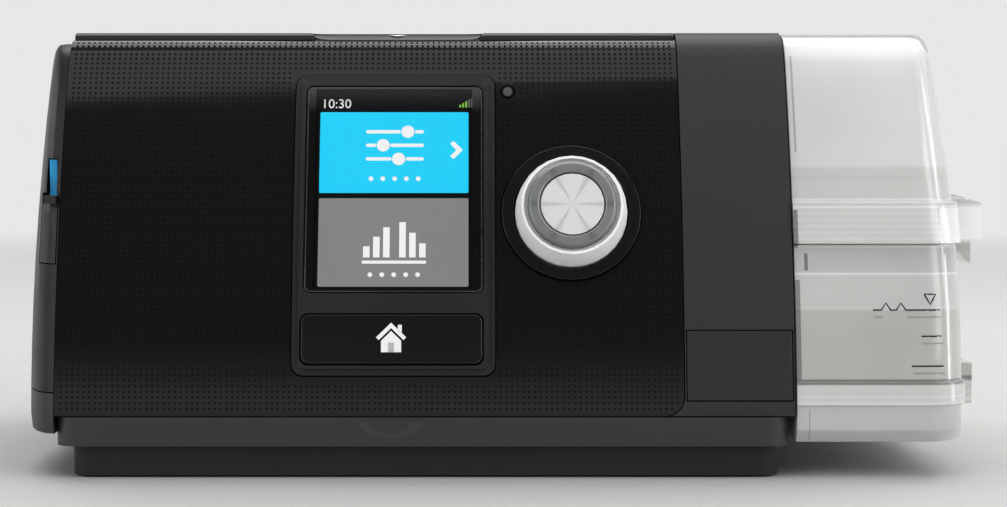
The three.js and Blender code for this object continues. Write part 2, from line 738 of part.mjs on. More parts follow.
const clip = {
  halfWidth: 9, armWidth: 4, low: 20, thickness: 2.3, pinRadius: 1, pinReach: 2, pivotZ: 46,
};
const clipY = backWall + fit + clip.thickness / 2;
const lug = { width: 3, drop: 3, holeClear: 0.3 };

function makeTopCover() {
  const left = fasciaLeft + fit;
  const right = fasciaRight - fit;
  const section = {
    inset: 0, bottom: casingBottom, top: overallHeight, back: backWall,
    frontRound: topEdgeRadius, backRound: backEdgeRadius, lowRound: fit,
  };
  const outer = drawnOut(section, left, right);
  const inner = drawnOut({ ...within(section, shellWall), bottom: casingBottom - overrun },
    left - overrun, right + overrun);
  const front = block(-wide, wide, -wide, fasciaBack + fit, -wide, wide);
  let solid = outer.subtract(inner).subtract(front);
  solid = solid.subtract(startPill(fit + fit / 2, startButton.bottom - overrun,
    overallHeight + overrun));
  const doorway = block(filterDoor.left - filterHinge.clear, filterDoor.right + fit,
    backWall - shellWall - overrun, backWall + overrun, filterDoor.low - fit, filterDoor.high + fit);
  const inletHole = block(inlet.x - inlet.half - fit, inlet.x + inlet.half + fit,
    backWall - shellWall - overrun, backWall + overrun, inlet.z - inlet.half - fit,
    inlet.z + inlet.half + fit);
  const pinHoles = rodZ(filterHingeX, filterHingeY, filterHinge.pin + fit,
    filterDoor.low - filterHinge.pinReach - fit * 2, filterDoor.high + filterHinge.pinReach + fit * 2,
    smallSides);
  solid = solid.subtract(doorway).subtract(inletHole).subtract(pinHoles);
  for (const side of [-1, 1]) {
    const near = inlet.x + side * (clip.halfWidth + fit);
    const far = near + side * lug.width;
    solid = solid.add(block(Math.min(near, far), Math.max(near, far), backWall - shellWall / 2,
      backWall + rearSetback, clip.pivotZ - lug.drop, clip.pivotZ + lug.drop));
  }
  const pinHole = rodX(clipY, clip.pivotZ, clip.pinRadius + lug.holeClear,
    inlet.x - clip.halfWidth - lug.width, inlet.x + clip.halfWidth + lug.width, smallSides);
  return solid.subtract(pinHole);
}

function makeFilterCover() {
  const low = filterDoor.low;
  const high = filterDoor.high;
  const knuckle = rodZ(filterHingeX, filterHingeY, filterHinge.radius, low, high, plainSides);
  const pins = rodZ(filterHingeX, filterHingeY, filterHinge.pin, low - filterHinge.pinReach,
    high + filterHinge.pinReach, smallSides);
  let solid = knuckle.add(pins).add(block(filterHingeX, filterDoor.right, backWall - shellWall, backWall,
    low, high));
  const gaps = Math.round((high - low - louvre.margin * 2) / louvre.pitch);
  for (let i = 0; i <= gaps; i += 1) {
    const z = low + louvre.margin + louvre.pitch * i;
    solid = solid.subtract(block(filterDoor.left + louvre.margin, filterDoor.right - louvre.margin,
      backWall - shellWall - overrun, backWall + overrun, z - louvre.height / 2,
      z + louvre.height / 2));
  }
  return solid;
}

function makeRetentionClip() {
  const { halfWidth, armWidth, low, thickness, pinRadius, pinReach, pivotZ } = clip;
  const frame = block(inlet.x - halfWidth, inlet.x + halfWidth, clipY - thickness / 2,
    clipY + thickness / 2, low, pivotZ);
  const gap = block(inlet.x - halfWidth + armWidth, inlet.x + halfWidth - armWidth, clipY - overrun,
    clipY + overrun, low - overrun, pivotZ - armWidth);
  const bar = rodX(clipY, pivotZ, thickness / 2, inlet.x - halfWidth, inlet.x + halfWidth,
    smallSides);
  const pins = rodX(clipY, pivotZ, pinRadius, inlet.x - halfWidth - pinReach,
    inlet.x + halfWidth + pinReach, smallSides);
  return frame.subtract(gap).add(bar).add(pins);
}

// Intake: box, foam, lid, and the rear window behind the filter
const intakeLidThickness = 2.5;
const windowMargin = 4;
const foamDrop = 16;             // air space over the foam
const foamTop = intake.top - foamDrop;
const filterLeft = filterDoor.left + windowMargin + fit;
const filterRight = filterDoor.right - windowMargin + fit;

function makeIntakeBox() {
  const bottom = floorTop + fit;
  const outer = block(intake.left, intake.right, intake.front, intake.back, bottom, intake.top);
  const inner = block(intake.left + shellWall, intake.right - shellWall, intake.front + shellWall,
    intake.back - shellWall, bottom + shellWall, intake.top + overrun);
  const window = block(filterDoor.left + windowMargin * 2, filterDoor.right - windowMargin * 2,
    intake.back - shellWall - overrun, intake.back + overrun, filterDoor.low + windowMargin * 2,
    filterDoor.high - windowMargin * 2);
  return outer.subtract(inner).subtract(window);
}

function makeFoam() {
  const gap = shellWall + fit;
  return block(intake.left + gap, intake.right - gap, intake.front + gap, intake.back - gap,
    floorTop + fit + gap, foamTop);
}

const filterSlab = block(filterLeft, filterRight, intake.back + fit, backWall - shellWall - fit,
  filterDoor.low + windowMargin, filterDoor.high - windowMargin);

// Blower on top of the intake box
const blowerShift = { x: 4, y: 1 };   // from the middle of the room beside the dock
const blower = {
  x: (fasciaLeft + linerLeft) / 2 + blowerShift.x, y: (intake.front + intake.back) / 2 + blowerShift.y,
  radius: 34, inletRadius: 12, height: 20.7, spoutY: 0, spoutRadius: 9, spoutBore: 7, boreRadius: 5,
};
const bootHeight = 3.9;
const bootWall = 7.7;
const blowerLidThickness = 2.5;
const intakeLidBottom = intake.top + fit;
const bootBottom = intakeLidBottom + intakeLidThickness + fit;
const voluteBottom = bootBottom + bootHeight + fit;
const voluteTop = voluteBottom + blower.height;
const spoutZ = (voluteBottom + shellWall + voluteTop) / 2;

const intakeLid = block(intake.left, intake.right, intake.front, intake.back, intakeLidBottom,
  intakeLidBottom + intakeLidThickness)
  .subtract(rodZ(blower.x, blower.y, blower.inletRadius, 0, voluteBottom, plainSides));
const boot = ringZ(blower.x, blower.y, blower.inletRadius, blower.inletRadius + bootWall,
  bootBottom, bootBottom + bootHeight, plainSides);

function makeVolute() {
  const spoutEnd = linerLeft - fit;
  const shell = rodZ(blower.x, blower.y, blower.radius, voluteBottom, voluteTop, fineSides)
    .add(rodX(blower.spoutY, spoutZ, blower.spoutRadius, blower.x, spoutEnd, plainSides));
  const hollow = rodZ(blower.x, blower.y, blower.radius - shellWall, voluteBottom + shellWall,
    voluteTop + overrun, fineSides)
    .add(rodX(blower.spoutY, spoutZ, blower.spoutBore, blower.x, spoutEnd + overrun, plainSides));
  const mouth = rodZ(blower.x, blower.y, blower.inletRadius, 0, voluteTop, plainSides);
  return shell.subtract(hollow).subtract(mouth);
}

const blowerLidBottom = voluteTop + fit;
const motorBottom = blowerLidBottom + blowerLidThickness + fit;
const motor = { radius: 17, height: 17.5, bore: 4.8, boreStop: 3 };
const bearing = { inner: 2.3, outer: 4.5, length: 3 };
const shaftRadius = 2;
const impeller = { radius: 29, rise: 5.2, disc: 2, hub: 5, bladeIn: 12.5, bladeOut: 28, blades: 9,
  bladeWall: 1.4, endGap: 2.5 };
const blowerLid = ringZ(blower.x, blower.y, blower.boreRadius, blower.radius, blowerLidBottom,
  blowerLidBottom + blowerLidThickness, fineSides);
const motorTop = motorBottom + motor.height;
const motorSolid = rodZ(blower.x, blower.y, motor.radius, motorBottom, motorTop, plainSides)
  .subtract(rodZ(blower.x, blower.y, motor.bore, 0, motorTop - motor.boreStop, plainSides));
const lowerBearingZ = motorBottom;
const upperBearingZ = motorTop - motor.boreStop - bearing.length - fit;
const bearingSolid = (low) => ringZ(blower.x, blower.y, bearing.inner, bearing.outer, low,
  low + bearing.length, plainSides);

function makeImpeller() {
  const low = voluteBottom + impeller.rise;
  const top = voluteTop - impeller.endGap;
  let solid = rodZ(blower.x, blower.y, impeller.radius, top - impeller.disc, top, fineSides)
    .add(rodZ(blower.x, blower.y, impeller.hub, low, top, plainSides))
    .add(rodZ(blower.x, blower.y, shaftRadius, top - impeller.disc, upperBearingZ + bearing.length,
      smallSides));
  for (let i = 0; i < impeller.blades; i += 1) {
    const blade = new THREE.BoxGeometry(impeller.bladeOut - impeller.bladeIn, impeller.bladeWall,
      top - low - impeller.disc / 2);
    blade.translate((impeller.bladeOut + impeller.bladeIn) / 2, 0,
      (top - impeller.disc / 2 + low) / 2);
    blade.rotateZ((i / impeller.blades) * Math.PI * 2);
    solid = solid.add(solidOf(blade.translate(blower.x, blower.y, 0)));
  }
  return solid;
}

addPart('top_rear_cover', makeTopCover(), satinGrey());
addPart('filter_cover', makeFilterCover(), satinGrey());
addPart('air_filter', filterSlab, paleRubber());
addPart('intake_box', makeIntakeBox(), innerPlastic());
addPart('intake_foam', makeFoam(), darkRubber());
addPart('intake_box_lid', intakeLid, innerPlastic());
addPart('blower_boot', boot, darkRubber());
addPart('blower_volute', makeVolute(), innerPlastic());
addPart('impeller', makeImpeller(), paleRubber());
addPart('blower_lid', blowerLid, innerPlastic());
addPart('blower_motor', motorSolid, steel());
addPart('motor_bearing_lower', bearingSolid(lowerBearingZ), brightMetal());
addPart('motor_bearing_upper', bearingSolid(upperBearingZ), brightMetal());

// Power inlet and its clip
const inletFront = backWall - fit - inlet.length;
const inletBlock = block(inlet.x - inlet.half, inlet.x + inlet.half, inletFront, backWall - fit,
  inlet.z - inlet.half, inlet.z + inlet.half)
  .add(block(inlet.x - inlet.half, inlet.x + inlet.half, inletFront, backWall - shellWall - fit,
    floorTop + fit, inlet.z))
  .subtract(rodY(inlet.x, inlet.z, inlet.bore, backWall - fit - inlet.boreDepth,
    backWall + overrun, plainSides));
addPart('power_inlet_socket', inletBlock, darkRubber());
addPart('power_retention_clip', makeRetentionClip(), satinGrey());

// Left side: memory card with its door, and the accessory cover
const cardInset = 7.4;           // from the left end
const cardSetback = 21;          // from the front of the skirt
const cardDrop = 55;             // from the side panel's top to the card's foot
const card = {
  left: leftEnd + cardInset, thickness: 2.1, front: frontEnd + cardSetback, length: 32,
  low: sidePanelTop - cardDrop, height: 24,
};
const cardRight = card.left + card.thickness;
const cardHigh = card.low + card.height;
const cardPush = 1;
const doorMargin = { left: 5.6, right: 0.9, low: 2.8, high: 15 };
const cardDoor = {
  left: leftEnd + doorMargin.left, right: fasciaLeft - doorMargin.right,
  low: card.low - doorMargin.low, high: card.low + doorMargin.high, thickness: 1.4, depth: 12,
};
const tabMargin = { left: 1.6, right: 0.3, low: 2.4 };
const doorTab = {
  left: cardDoor.left + tabMargin.left, right: cardDoor.right - tabMargin.right,
  low: cardDoor.high - tabMargin.low, high: cardDoor.high - fit, reach: 1,
};
const cardSocket = { margin: 1.4, wall: 1.4, depth: 16, back: 4 };
const accessorySetback = 32;     // from the back wall
const accessoryLength = 40;
const accessoryRear = backWall - accessorySetback;
const accessory = {
  front: accessoryRear - accessoryLength, rear: accessoryRear, low: 30, high: 62, thickness: 1.6,
};
const doorHinge = { y: faceY(cardDoor.low, sideSection.inset), z: cardDoor.low };
const doorSwing = Math.hypot(faceY(cardDoor.high, sideSection.inset) - doorHinge.y,
  cardDoor.high - cardDoor.low);

function sideSkin(thickness) {
  const end = { ...sideEnd, seamX: fasciaLeft, depth: sideEnd.depth + fit - thickness };
  return sideOuter.subtract(lofted([
    ...roundedEnd(within(sideSection, thickness), end, -1),
    sectionRing(fasciaLeft + overrun, within(sideSection, thickness)),
  ]));
}

function makeSidePanel() {
  const above = block(-wide, wide, -wide, wide, sideSplitZ, wide);
  const doorWay = block(cardDoor.left - fit, cardDoor.right + fit, -wide,
    card.front + cardDoor.depth / 2, cardDoor.low - fit, cardDoor.high + fit);
  const cardSlot = block(card.left - fit * 2, cardRight + fit * 2, -wide, 0, card.low - fit,
    cardHigh + fit);
  const coverWay = block(-wide, (fasciaLeft + leftEnd) / 2, accessory.front - fit,
    accessory.rear + fit, accessory.low - fit, accessory.high + fit);
  return sideOuter.subtract(sideInner).intersect(above).subtract(doorWay).subtract(cardSlot)
    .subtract(coverWay);
}

function makeCardDoor() {
  const region = block(cardDoor.left, cardDoor.right, -wide, card.front + cardDoor.depth / 2 - fit,
    cardDoor.low, cardDoor.high);
  const swing = rodX(doorHinge.y, doorHinge.z, doorSwing, -wide, wide, fineSides);
  const skin = sideSkin(cardDoor.thickness).intersect(region).intersect(swing);
  const tabBack = faceY(doorTab.high, sideSection.inset) + cardDoor.thickness / 2;
  const tab = block(doorTab.left, doorTab.right, faceY(doorTab.low, sideSection.inset)
    - doorTab.reach, tabBack, doorTab.low, doorTab.high);
  return skin.add(tab);
}

const cardSolid = block(card.left, cardRight, card.front, card.front + card.length, card.low,
  cardHigh);
const socketFront = card.front + card.length - cardSocket.depth;
const socketBack = card.front + card.length + cardSocket.back;
const socketSolid = block(card.left - cardSocket.margin, cardRight + cardSocket.margin, socketFront, socketBack,
  card.low - cardSocket.wall, cardHigh + cardSocket.wall)
  .subtract(block(card.left - fit, cardRight + fit, -wide, card.front + card.length + cardPush + fit,
    card.low - fit, cardHigh + fit));
const coverSolid = sideSkin(accessory.thickness).intersect(block(-wide,
  (fasciaLeft + leftEnd) / 2 - fit, accessory.front, accessory.rear, accessory.low,
  accessory.high));
const plug = { depthGap: 4.6, marginY: 12, marginZ: 10 };
const connectorSolid = block(leftEnd + plug.depthGap, intake.left - fit,
  accessory.front + plug.marginY, accessory.rear - plug.marginY, accessory.low + plug.marginZ,
  accessory.high - plug.marginZ);
addPart('left_side_panel', makeSidePanel(), satinGrey());
addPart('card_door', makeCardDoor(), skirtGrey());
addPart('memory_card', cardSolid, finish(0x2aa4e8, 0.45, 0));
addPart('card_socket', socketSolid, steel());
addPart('accessory_cover', coverSolid, satinGrey());
addPart('accessory_connector', connectorSolid, darkRubber());

// Dock: grey cover, plain plate, liner, seals, heater plate and outlet elbow
const plateThickness = 1.2;
const plateLow = 20;
const plateHigh = 38.3;
const outletInset = { right: 14.7, back: 16, top: 28 };
const outlet = {
  x: dockRight - outletInset.right, y: backWall - outletInset.back,
  z: overallHeight - outletInset.top, radius: 10, bore: 8, coneRadius: 11,
};
const dockSection = {
  inset: 0, bottom: casingBottom, top: overallHeight, back: backWall,
  frontRound: topEdgeRadius, backRound: backEdgeRadius, lowRound: fit,
};
const dockEndWallLeft = dockRight - shellWall;
const elbowStartX = dockEndWallLeft + fit * 4;
const elbowRadius = elbowStartX - outlet.x;
const elbowSteps = 8;

function makeDockCover() {
  let solid = drawnOut(dockSection, fasciaRight, dockRight);
  const inner = drawnOut({ ...within(dockSection, shellWall), bottom: casingBottom - overrun },
    fasciaRight - overrun, dockEndWallLeft);
  const tunnel = drawnOut({ ...linerBore, bottom: 0 }, dockEndWallLeft - overrun,
    dockRight + overrun);
  const plateBand = drawnOut({ ...dockSection, inset: -overrun }, fasciaRight + fit, dockRight - fit)
    .subtract(drawnOut({ ...dockSection, inset: plateThickness + fit }, fasciaRight, dockRight))
    .intersect(block(-wide, wide, -wide, 0, plateLow, plateHigh));
  const portHole = rodX(outlet.y, outlet.z, outlet.radius + fit, dockEndWallLeft - overrun,
    dockRight + overrun, plainSides);
  const rearHole = rodY(outlet.x, outlet.z, outlet.coneRadius + fit, backWall - shellWall - overrun,
    backWall + overrun, fineSides);
  for (const cut of [inner, tunnel, plateBand, portHole, rearHole]) solid = solid.subtract(cut);
  const filling = drawnOut(dockSection, lowerCornerX, fasciaRight + fit)
    .subtract(drawnOut({ ...within(dockSection, shellWall), bottom: casingBottom - overrun },
      lowerCornerX - overrun, fasciaRight + overrun))
    .intersect(cornerPlace(fit, fasciaRight + fit));
  return solid.add(filling);
}

function makePlate() {
  return drawnOut(dockSection, fasciaRight + fit * 2, dockRight - fit * 2)
    .subtract(drawnOut({ ...dockSection, inset: plateThickness }, fasciaRight, dockRight))
    .intersect(block(-wide, wide, -wide, 0, plateLow + fit, plateHigh - fit));
}

const port = { radius: 7, seal: 3 };
const heaterInset = { left: 8, right: 8.7, front: 35, rear: 12 };
const heater = {
  left: tubInnerLeft + heaterInset.left, right: dockRight - heaterInset.right,
  front: frontEnd + heaterInset.front, rear: tubInnerSection.back - heaterInset.rear,
};
function makeLiner() {
  const right = dockEndWallLeft - fit;
  const outer = drawnOut(linerOuter, linerLeft, right);
  const inner = drawnOut(linerBore, linerLeft + linerWall, right + overrun);
  const plateHole = block(heater.left, heater.right, heater.front, heater.rear, 0,
    tubInnerSection.bottom);
  const portHole = rodX(blower.spoutY, spoutZ, port.radius, linerLeft - overrun,
    linerLeft + linerWall + overrun, plainSides);
  return outer.subtract(inner).subtract(plateHole).subtract(portHole);
}

class Elbow extends THREE.Curve {
  constructor(radius) {
    super();
    this.radius = radius;
  }

  getPoint(share, target = new THREE.Vector3()) {
    const turn = share * (Math.PI / 2);
    return target.set(elbowStartX - this.radius * Math.sin(turn),
      outlet.y + this.radius * (1 - Math.cos(turn)), outlet.z);
  }
}

function elbowTube(radius) {
  const shape = new THREE.Shape();
  shape.absarc(0, 0, radius, 0, Math.PI * 2, false);
  return solidOf(new THREE.ExtrudeGeometry(shape, {
    steps: elbowSteps, extrudePath: new Elbow(elbowRadius), curveSegments: plainSides / 2,
    bevelEnabled: false }));
}

function makeOutletElbow() {
  const bendEndY = outlet.y + elbowRadius;
  const end = overallDepth / 2;
  const join = shellWall / 2;
  const outer = elbowTube(outlet.radius)
    .add(rodY(outlet.x, outlet.z, outlet.coneRadius, bendEndY - join, end, fineSides));
  const bore = elbowTube(outlet.bore)
    .add(rodY(outlet.x, outlet.z, outlet.bore, bendEndY - fit, end + overrun, plainSides))
    .add(rodX(outlet.y, outlet.z, outlet.bore, elbowStartX - fit, elbowStartX + overrun, plainSides));
  return outer.subtract(bore);
}

addPart('dock_cover', makeDockCover(), satinGrey());
addPart('dock_plate', makePlate(), satinGrey());
addPart('dock_liner', makeLiner(), innerPlastic());
addPart('dock_inlet_seal', ringX(blower.spoutY, spoutZ, port.radius, port.radius + port.seal,
  linerLeft + linerWall + fit, tubInnerLeft - fit, plainSides), paleRubber());
addPart('dock_outlet_seal', ringX(outlet.y, outlet.z, outlet.bore - fit, outlet.radius,
  elbowStartX + fit, dockRight + fit / 2, plainSides), paleRubber());
addPart('heater_plate', block(heater.left + fit, heater.right - fit, heater.front + fit,
  heater.rear - fit, floorTop + fit, tubInnerSection.bottom - fit), brightMetal());
addPart('air_outlet_elbow', makeOutletElbow(), darkRubber());

// Tub: outer half beside the dock and inner half in it, as lid and container
const tubSink = 0.4;             // tub behind and below the casing's faces
const tubSetback = 4;            // tub in front of the back wall
const tubOuterSection = {
  inset: tubSink, bottom: 9.4, top: overallHeight - tubSink, back: backWall - tubSetback,
  frontRound: 6, backRound: 10, lowRound: 2,
};
const tubEndDepth = 10;
const tubEnd = {
  seamX: tubRight - tubEndDepth, depth: tubEndDepth, crown: 4.3, widestZ: 35,
  shoulder: 8, backShoulder: 8, lip: 1,
};
const lidFlange = { height: 10.85, reach: 1.2 };
const lidFlangeTop = tubSplitZ + lidFlange.height;
const ringFlange = { low: 19, high: 25, reach: 0.7 };
const lidClipSetback = { front: 29, rear: 63 };   // from the front of the skirt
const lidClipReach = { high: 1.4, hook: 0.25, low: 6.45 };
const lidClip = {
  front: frontEnd + lidClipSetback.front, rear: frontEnd + lidClipSetback.rear,
  high: lidFlangeTop + lidClipReach.high, low: tubSplitZ - lidClipReach.low,
  hookTop: tubSplitZ + lidClipReach.hook, gap: 0.9, wall: 2.2, pinRadius: 1, pivotDrop: 2.4,
  slope: 1.8, hookRise: 4.3,
};
const ringTabSetback = 13;       // from the front of the skirt
const ringTab = {
  reach: 3.4, front: frontEnd + ringTabSetback, rear: lidClip.rear, low: 18.3, high: 29,
};

function tubSolid(grow, leftGrow) {
  const outerSection = within(tubOuterSection, -grow);
  const innerSection = within(tubInnerSection, -grow);
  const end = { ...tubEnd, depth: tubEnd.depth + grow };
  const outer = lofted([
    sectionRing(tubOuterLeft - leftGrow, outerSection), ...roundedEnd(outerSection, end, 1),
  ]);
  const inner = drawnOut(innerSection, tubInnerLeft - leftGrow, tubOuterLeft + tubWall * 2);
  return outer.add(inner);
}

function flangeBand(reach, low, high) {
  const section = { ...within(tubOuterSection, -reach), bottom: tubOuterSection.bottom,
    top: tubOuterSection.top };
  const end = { ...tubEnd, depth: tubEnd.depth + reach };
  return lofted([sectionRing(tubOuterLeft, section), ...roundedEnd(section, end, 1)])
    .intersect(block(-wide, wide, -wide, wide, low, high));
}

const tubOutside = tubSolid(0, 0);
const tubHollow = tubSolid(-tubWall, -tubWall);
const clipPivotZ = lidClip.high - lidClip.pivotDrop;
const clipInner = tubRight + lidFlange.reach + lidClip.gap;
const clipPivotX = clipInner + lidClip.pivotDrop;
const clipLug = { width: 2.2, drop: 2.6 };
const clipEarFront = lidClip.front - fit - clipLug.width;
const clipPinFront = lidClip.front - fit - clipLug.width / 2;

// The clip's side view, which the ear in front of it shares; its top slopes down outwards
function clipOutline(inner) {
  return [
    [inner, lidClip.hookTop], [rightEnd, lidClip.hookTop],
    [rightEnd, lidClip.high - lidClip.slope], [inner, lidClip.high],
  ];
}

function makeLid() {
  const above = block(-wide, wide, -wide, wide, tubSplitZ + fit / 2, wide);
  let solid = tubOutside.intersect(above)
    .add(flangeBand(lidFlange.reach, tubSplitZ + fit / 2, lidFlangeTop))
    .subtract(tubHollow);
  solid = solid.subtract(rodX(blower.spoutY, spoutZ, port.radius, tubInnerLeft - overrun,
    tubInnerLeft + tubWall + overrun, plainSides));
  solid = solid.subtract(rodX(outlet.y, outlet.z, outlet.bore - fit, tubOuterLeft - overrun,
    tubOuterLeft + tubWall + overrun, plainSides));
  const rearEar = block(tubRight - tubWall / 2, clipPivotX + clipLug.drop, lidClip.rear + fit,
    lidClip.rear + fit + clipLug.width, clipPivotZ - clipLug.drop, clipPivotZ + clipLug.drop);
  const frontEar = profileY(clipOutline(tubRight - tubWall / 2), clipEarFront,
    lidClip.front - fit);
  return solid.add(rearEar.add(frontEar).subtract(tubHollow))
    .subtract(rodY(clipPivotX, clipPivotZ, lidClip.pinRadius + fit, clipPinFront - fit,
      lidClip.rear + clipLug.width * 2, smallSides));
}

function makeLidClip() {
  const { wall, low, front, rear, hookTop, hookRise } = lidClip;
  const plate = profileY(clipOutline(clipInner), front, rear);
  const hook = profileY([
    [clipInner, low + hookRise], [clipInner + wall * 2, low],
    [clipInner + wall * 2, hookTop + fit], [clipInner, hookTop + fit],
  ], front + wall, rear - wall);
  return plate.add(hook).subtract(rodY(clipPivotX, clipPivotZ, lidClip.pinRadius + fit,
    front - overrun, rear + overrun, smallSides));
}

const plateInset = { left: 4, right: 3, front: 27, rear: 6 };
const plateHollow = {
  left: tubInnerLeft + plateInset.left, right: tubOuterLeft - plateInset.right,
  front: frontEnd + plateInset.front, rear: tubInnerSection.back - plateInset.rear, thickness: 1,
};
function makeContainer() {
  const below = block(-wide, wide, -wide, wide, 0, tubSplitZ - fit / 2);
  const tab = block(tubRight - tubWall / 2, tubRight + ringTab.reach, ringTab.front, ringTab.rear,
    ringTab.low, ringTab.high);
  return tubOutside.intersect(below)
    .add(flangeBand(ringFlange.reach, ringFlange.low, ringFlange.high)).add(tab)
    .subtract(tubHollow)
    .subtract(block(plateHollow.left, plateHollow.right, plateHollow.front, plateHollow.rear, 0,
      tubInnerSection.bottom + plateHollow.thickness + fit));
}

const lidSeal = { below: 2.65, above: 2.85, wall: 1.6 };   // of the joint
function makeLidSeal() {
  const band = block(-wide, wide, -wide, wide, tubSplitZ - lidSeal.below, tubSplitZ + lidSeal.above);
  const outside = -tubWall - fit;
  return tubSolid(outside, outside).intersect(band)
    .subtract(tubSolid(outside - lidSeal.wall, outside - lidSeal.wall));
}

addPart('tub_lid', makeLid(), clearPlastic());
addPart('tub_container', makeContainer(), clearPlastic());
addPart('tub_lid_seal', makeLidSeal(), paleRubber());
addPart('tub_base_plate', block(plateHollow.left + fit, plateHollow.right - fit,
  plateHollow.front + fit, plateHollow.rear - fit, tubInnerSection.bottom,
  tubInnerSection.bottom + plateHollow.thickness), brightMetal());
addPart('tub_lid_clip', makeLidClip(), clearPlastic());
addPart('lid_clip_pin', rodY(clipPivotX, clipPivotZ, lidClip.pinRadius, clipPinFront,
  lidClip.rear + fit + clipLug.width, smallSides), steel());

export default machine;
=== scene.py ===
import json
from math import asin, cos, hypot, pi, radians, sin, sqrt

import bmesh
import bpy
from mathutils import Matrix, Vector
from mathutils.bvhtree import BVHTree


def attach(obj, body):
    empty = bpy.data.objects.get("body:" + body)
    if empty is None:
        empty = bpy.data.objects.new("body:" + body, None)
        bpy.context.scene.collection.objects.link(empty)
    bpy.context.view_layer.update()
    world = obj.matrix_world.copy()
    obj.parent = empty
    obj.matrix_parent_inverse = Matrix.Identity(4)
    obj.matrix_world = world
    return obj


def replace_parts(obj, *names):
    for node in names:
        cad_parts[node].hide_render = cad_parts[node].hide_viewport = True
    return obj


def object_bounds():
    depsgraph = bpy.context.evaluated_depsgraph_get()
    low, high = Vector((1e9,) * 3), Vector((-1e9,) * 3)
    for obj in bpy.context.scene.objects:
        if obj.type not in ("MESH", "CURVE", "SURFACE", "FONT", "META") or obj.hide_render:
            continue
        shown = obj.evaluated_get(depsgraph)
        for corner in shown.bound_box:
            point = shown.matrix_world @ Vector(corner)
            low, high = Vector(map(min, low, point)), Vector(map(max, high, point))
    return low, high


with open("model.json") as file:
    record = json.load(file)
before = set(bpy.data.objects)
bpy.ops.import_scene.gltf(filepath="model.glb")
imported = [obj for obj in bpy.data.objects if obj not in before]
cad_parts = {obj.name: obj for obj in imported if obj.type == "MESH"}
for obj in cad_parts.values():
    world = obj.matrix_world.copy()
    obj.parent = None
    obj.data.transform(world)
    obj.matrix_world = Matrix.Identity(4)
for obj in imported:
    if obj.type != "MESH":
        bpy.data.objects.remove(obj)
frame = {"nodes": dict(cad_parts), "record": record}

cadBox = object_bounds()
print("frame loaded:", len(frame["nodes"]), "nodes")

mm = 0.001

# The curved front in mm: in side view an arc with its centre behind the back wall, upright below its
# foot, with a round along its top edge. Then the heights at which the marks on it are laid out
front = {"radius": 268, "centreY": 191.0024, "centreZ": -16.6610, "footZ": 16,
         "panelZ": 66.7, "screenZ": 75, "homeZ": 35.8, "edgeZ": 108.7, "edgeRadius": 6}


def faceY(z, inset=0):
    level = max(z, front["footZ"])
    return front["centreY"] - sqrt((front["radius"] - inset) ** 2 - (level - front["centreZ"]) ** 2)


def faceLean(z):
    return asin((z - front["centreZ"]) / front["radius"])


def faceFrame(z):
    # x to the right, v up along the face, w outwards: mm there, metres in the frame
    out = Vector((0, -cos(faceLean(z)), sin(faceLean(z))))
    up = Vector((0, out.z, -out.y))
    turn = Matrix(((1, up.x, out.x, 0), (0, up.y, out.y, faceY(z)), (0, up.z, out.z, z), (0, 0, 0, 1)))
    return Matrix.Scale(mm, 4) @ turn


panelFrame = faceFrame(front["panelZ"])
screenFrame = faceFrame(front["screenZ"])
homeFrame = faceFrame(front["homeZ"])


def colour(hexCode):
    # "3d3d3d" as shown on a screen, to the linear colour a shader takes
    parts = [int(hexCode[i:i + 2], 16) / 255 for i in (0, 2, 4)]
    return tuple(c / 12.92 if c <= 0.04045 else ((c + 0.055) / 1.055) ** 2.4 for c in parts) + (1,)


def shaded(tone, factor, lift=0):
    # A linear colour made lighter or darker
    return tuple(min(1, c * factor + lift) for c in tone[:3]) + (1,)


def circle(x, v, radius, steps=24):
    turns = [2 * pi * i / steps for i in range(steps)]
    return [(x + radius * cos(a), v + radius * sin(a)) for a in turns]


# Camera, lamps and room

view = {
    "place": (-0.009, -0.683, 0.091), "tiltDown": 3.084, "lens": 85, "sensor": 36,
    "shiftX": 0.0333, "nearest": 0.01,
}


def makeCamera():
    camera = bpy.data.objects.new("photoView", bpy.data.cameras.new("photoView"))
    camera.location = view["place"]
    camera.rotation_euler = (radians(90 - view["tiltDown"]), 0, 0)
    camera.data.lens = view["lens"]
    camera.data.sensor_width = view["sensor"]
    camera.data.shift_x = view["shiftX"]
    camera.data.clip_start = view["nearest"]
    bpy.context.scene.collection.objects.link(camera)
    bpy.context.scene.camera = camera
    bpy.context.scene.view_settings.view_transform = "Standard"


lampTarget = (0, 0, 0.05)
lamps = {
    "broadRear": {"place": (0.05, 0.55, 1.05), "size": (2.0, 0.9), "power": 18},
    "broadFront": {"place": (0.1, -0.4, 1.35), "size": (2.2, 0.95), "power": 8.5},
    "leftKey": {"place": (-1.05, -1.25, 0.85), "size": (0.5, 0.9), "power": 4},
    "rightKey": {"place": (1.05, -1.2, 0.85), "size": (0.5, 0.9), "power": 5.5},
    "leftStrip": {"place": (-1.35, -0.5, 0.55), "size": (0.3, 1.1), "power": 3},
    "rightStrip": {"place": (1.35, -0.5, 0.6), "size": (0.3, 1.1), "power": 6},
}


def makeLamps():
    for name, plan in lamps.items():
        light = bpy.data.lights.new(name, "AREA")
        light.shape = "RECTANGLE"
        light.size, light.size_y = plan["size"]
        light.energy = plan["power"]
        lamp = bpy.data.objects.new(name, light)
        lamp.location = plan["place"]
        aim = Vector(lampTarget) - lamp.location
        lamp.rotation_euler = aim.to_track_quat("-Z", "Y").to_euler()
        bpy.context.scene.collection.objects.link(lamp)


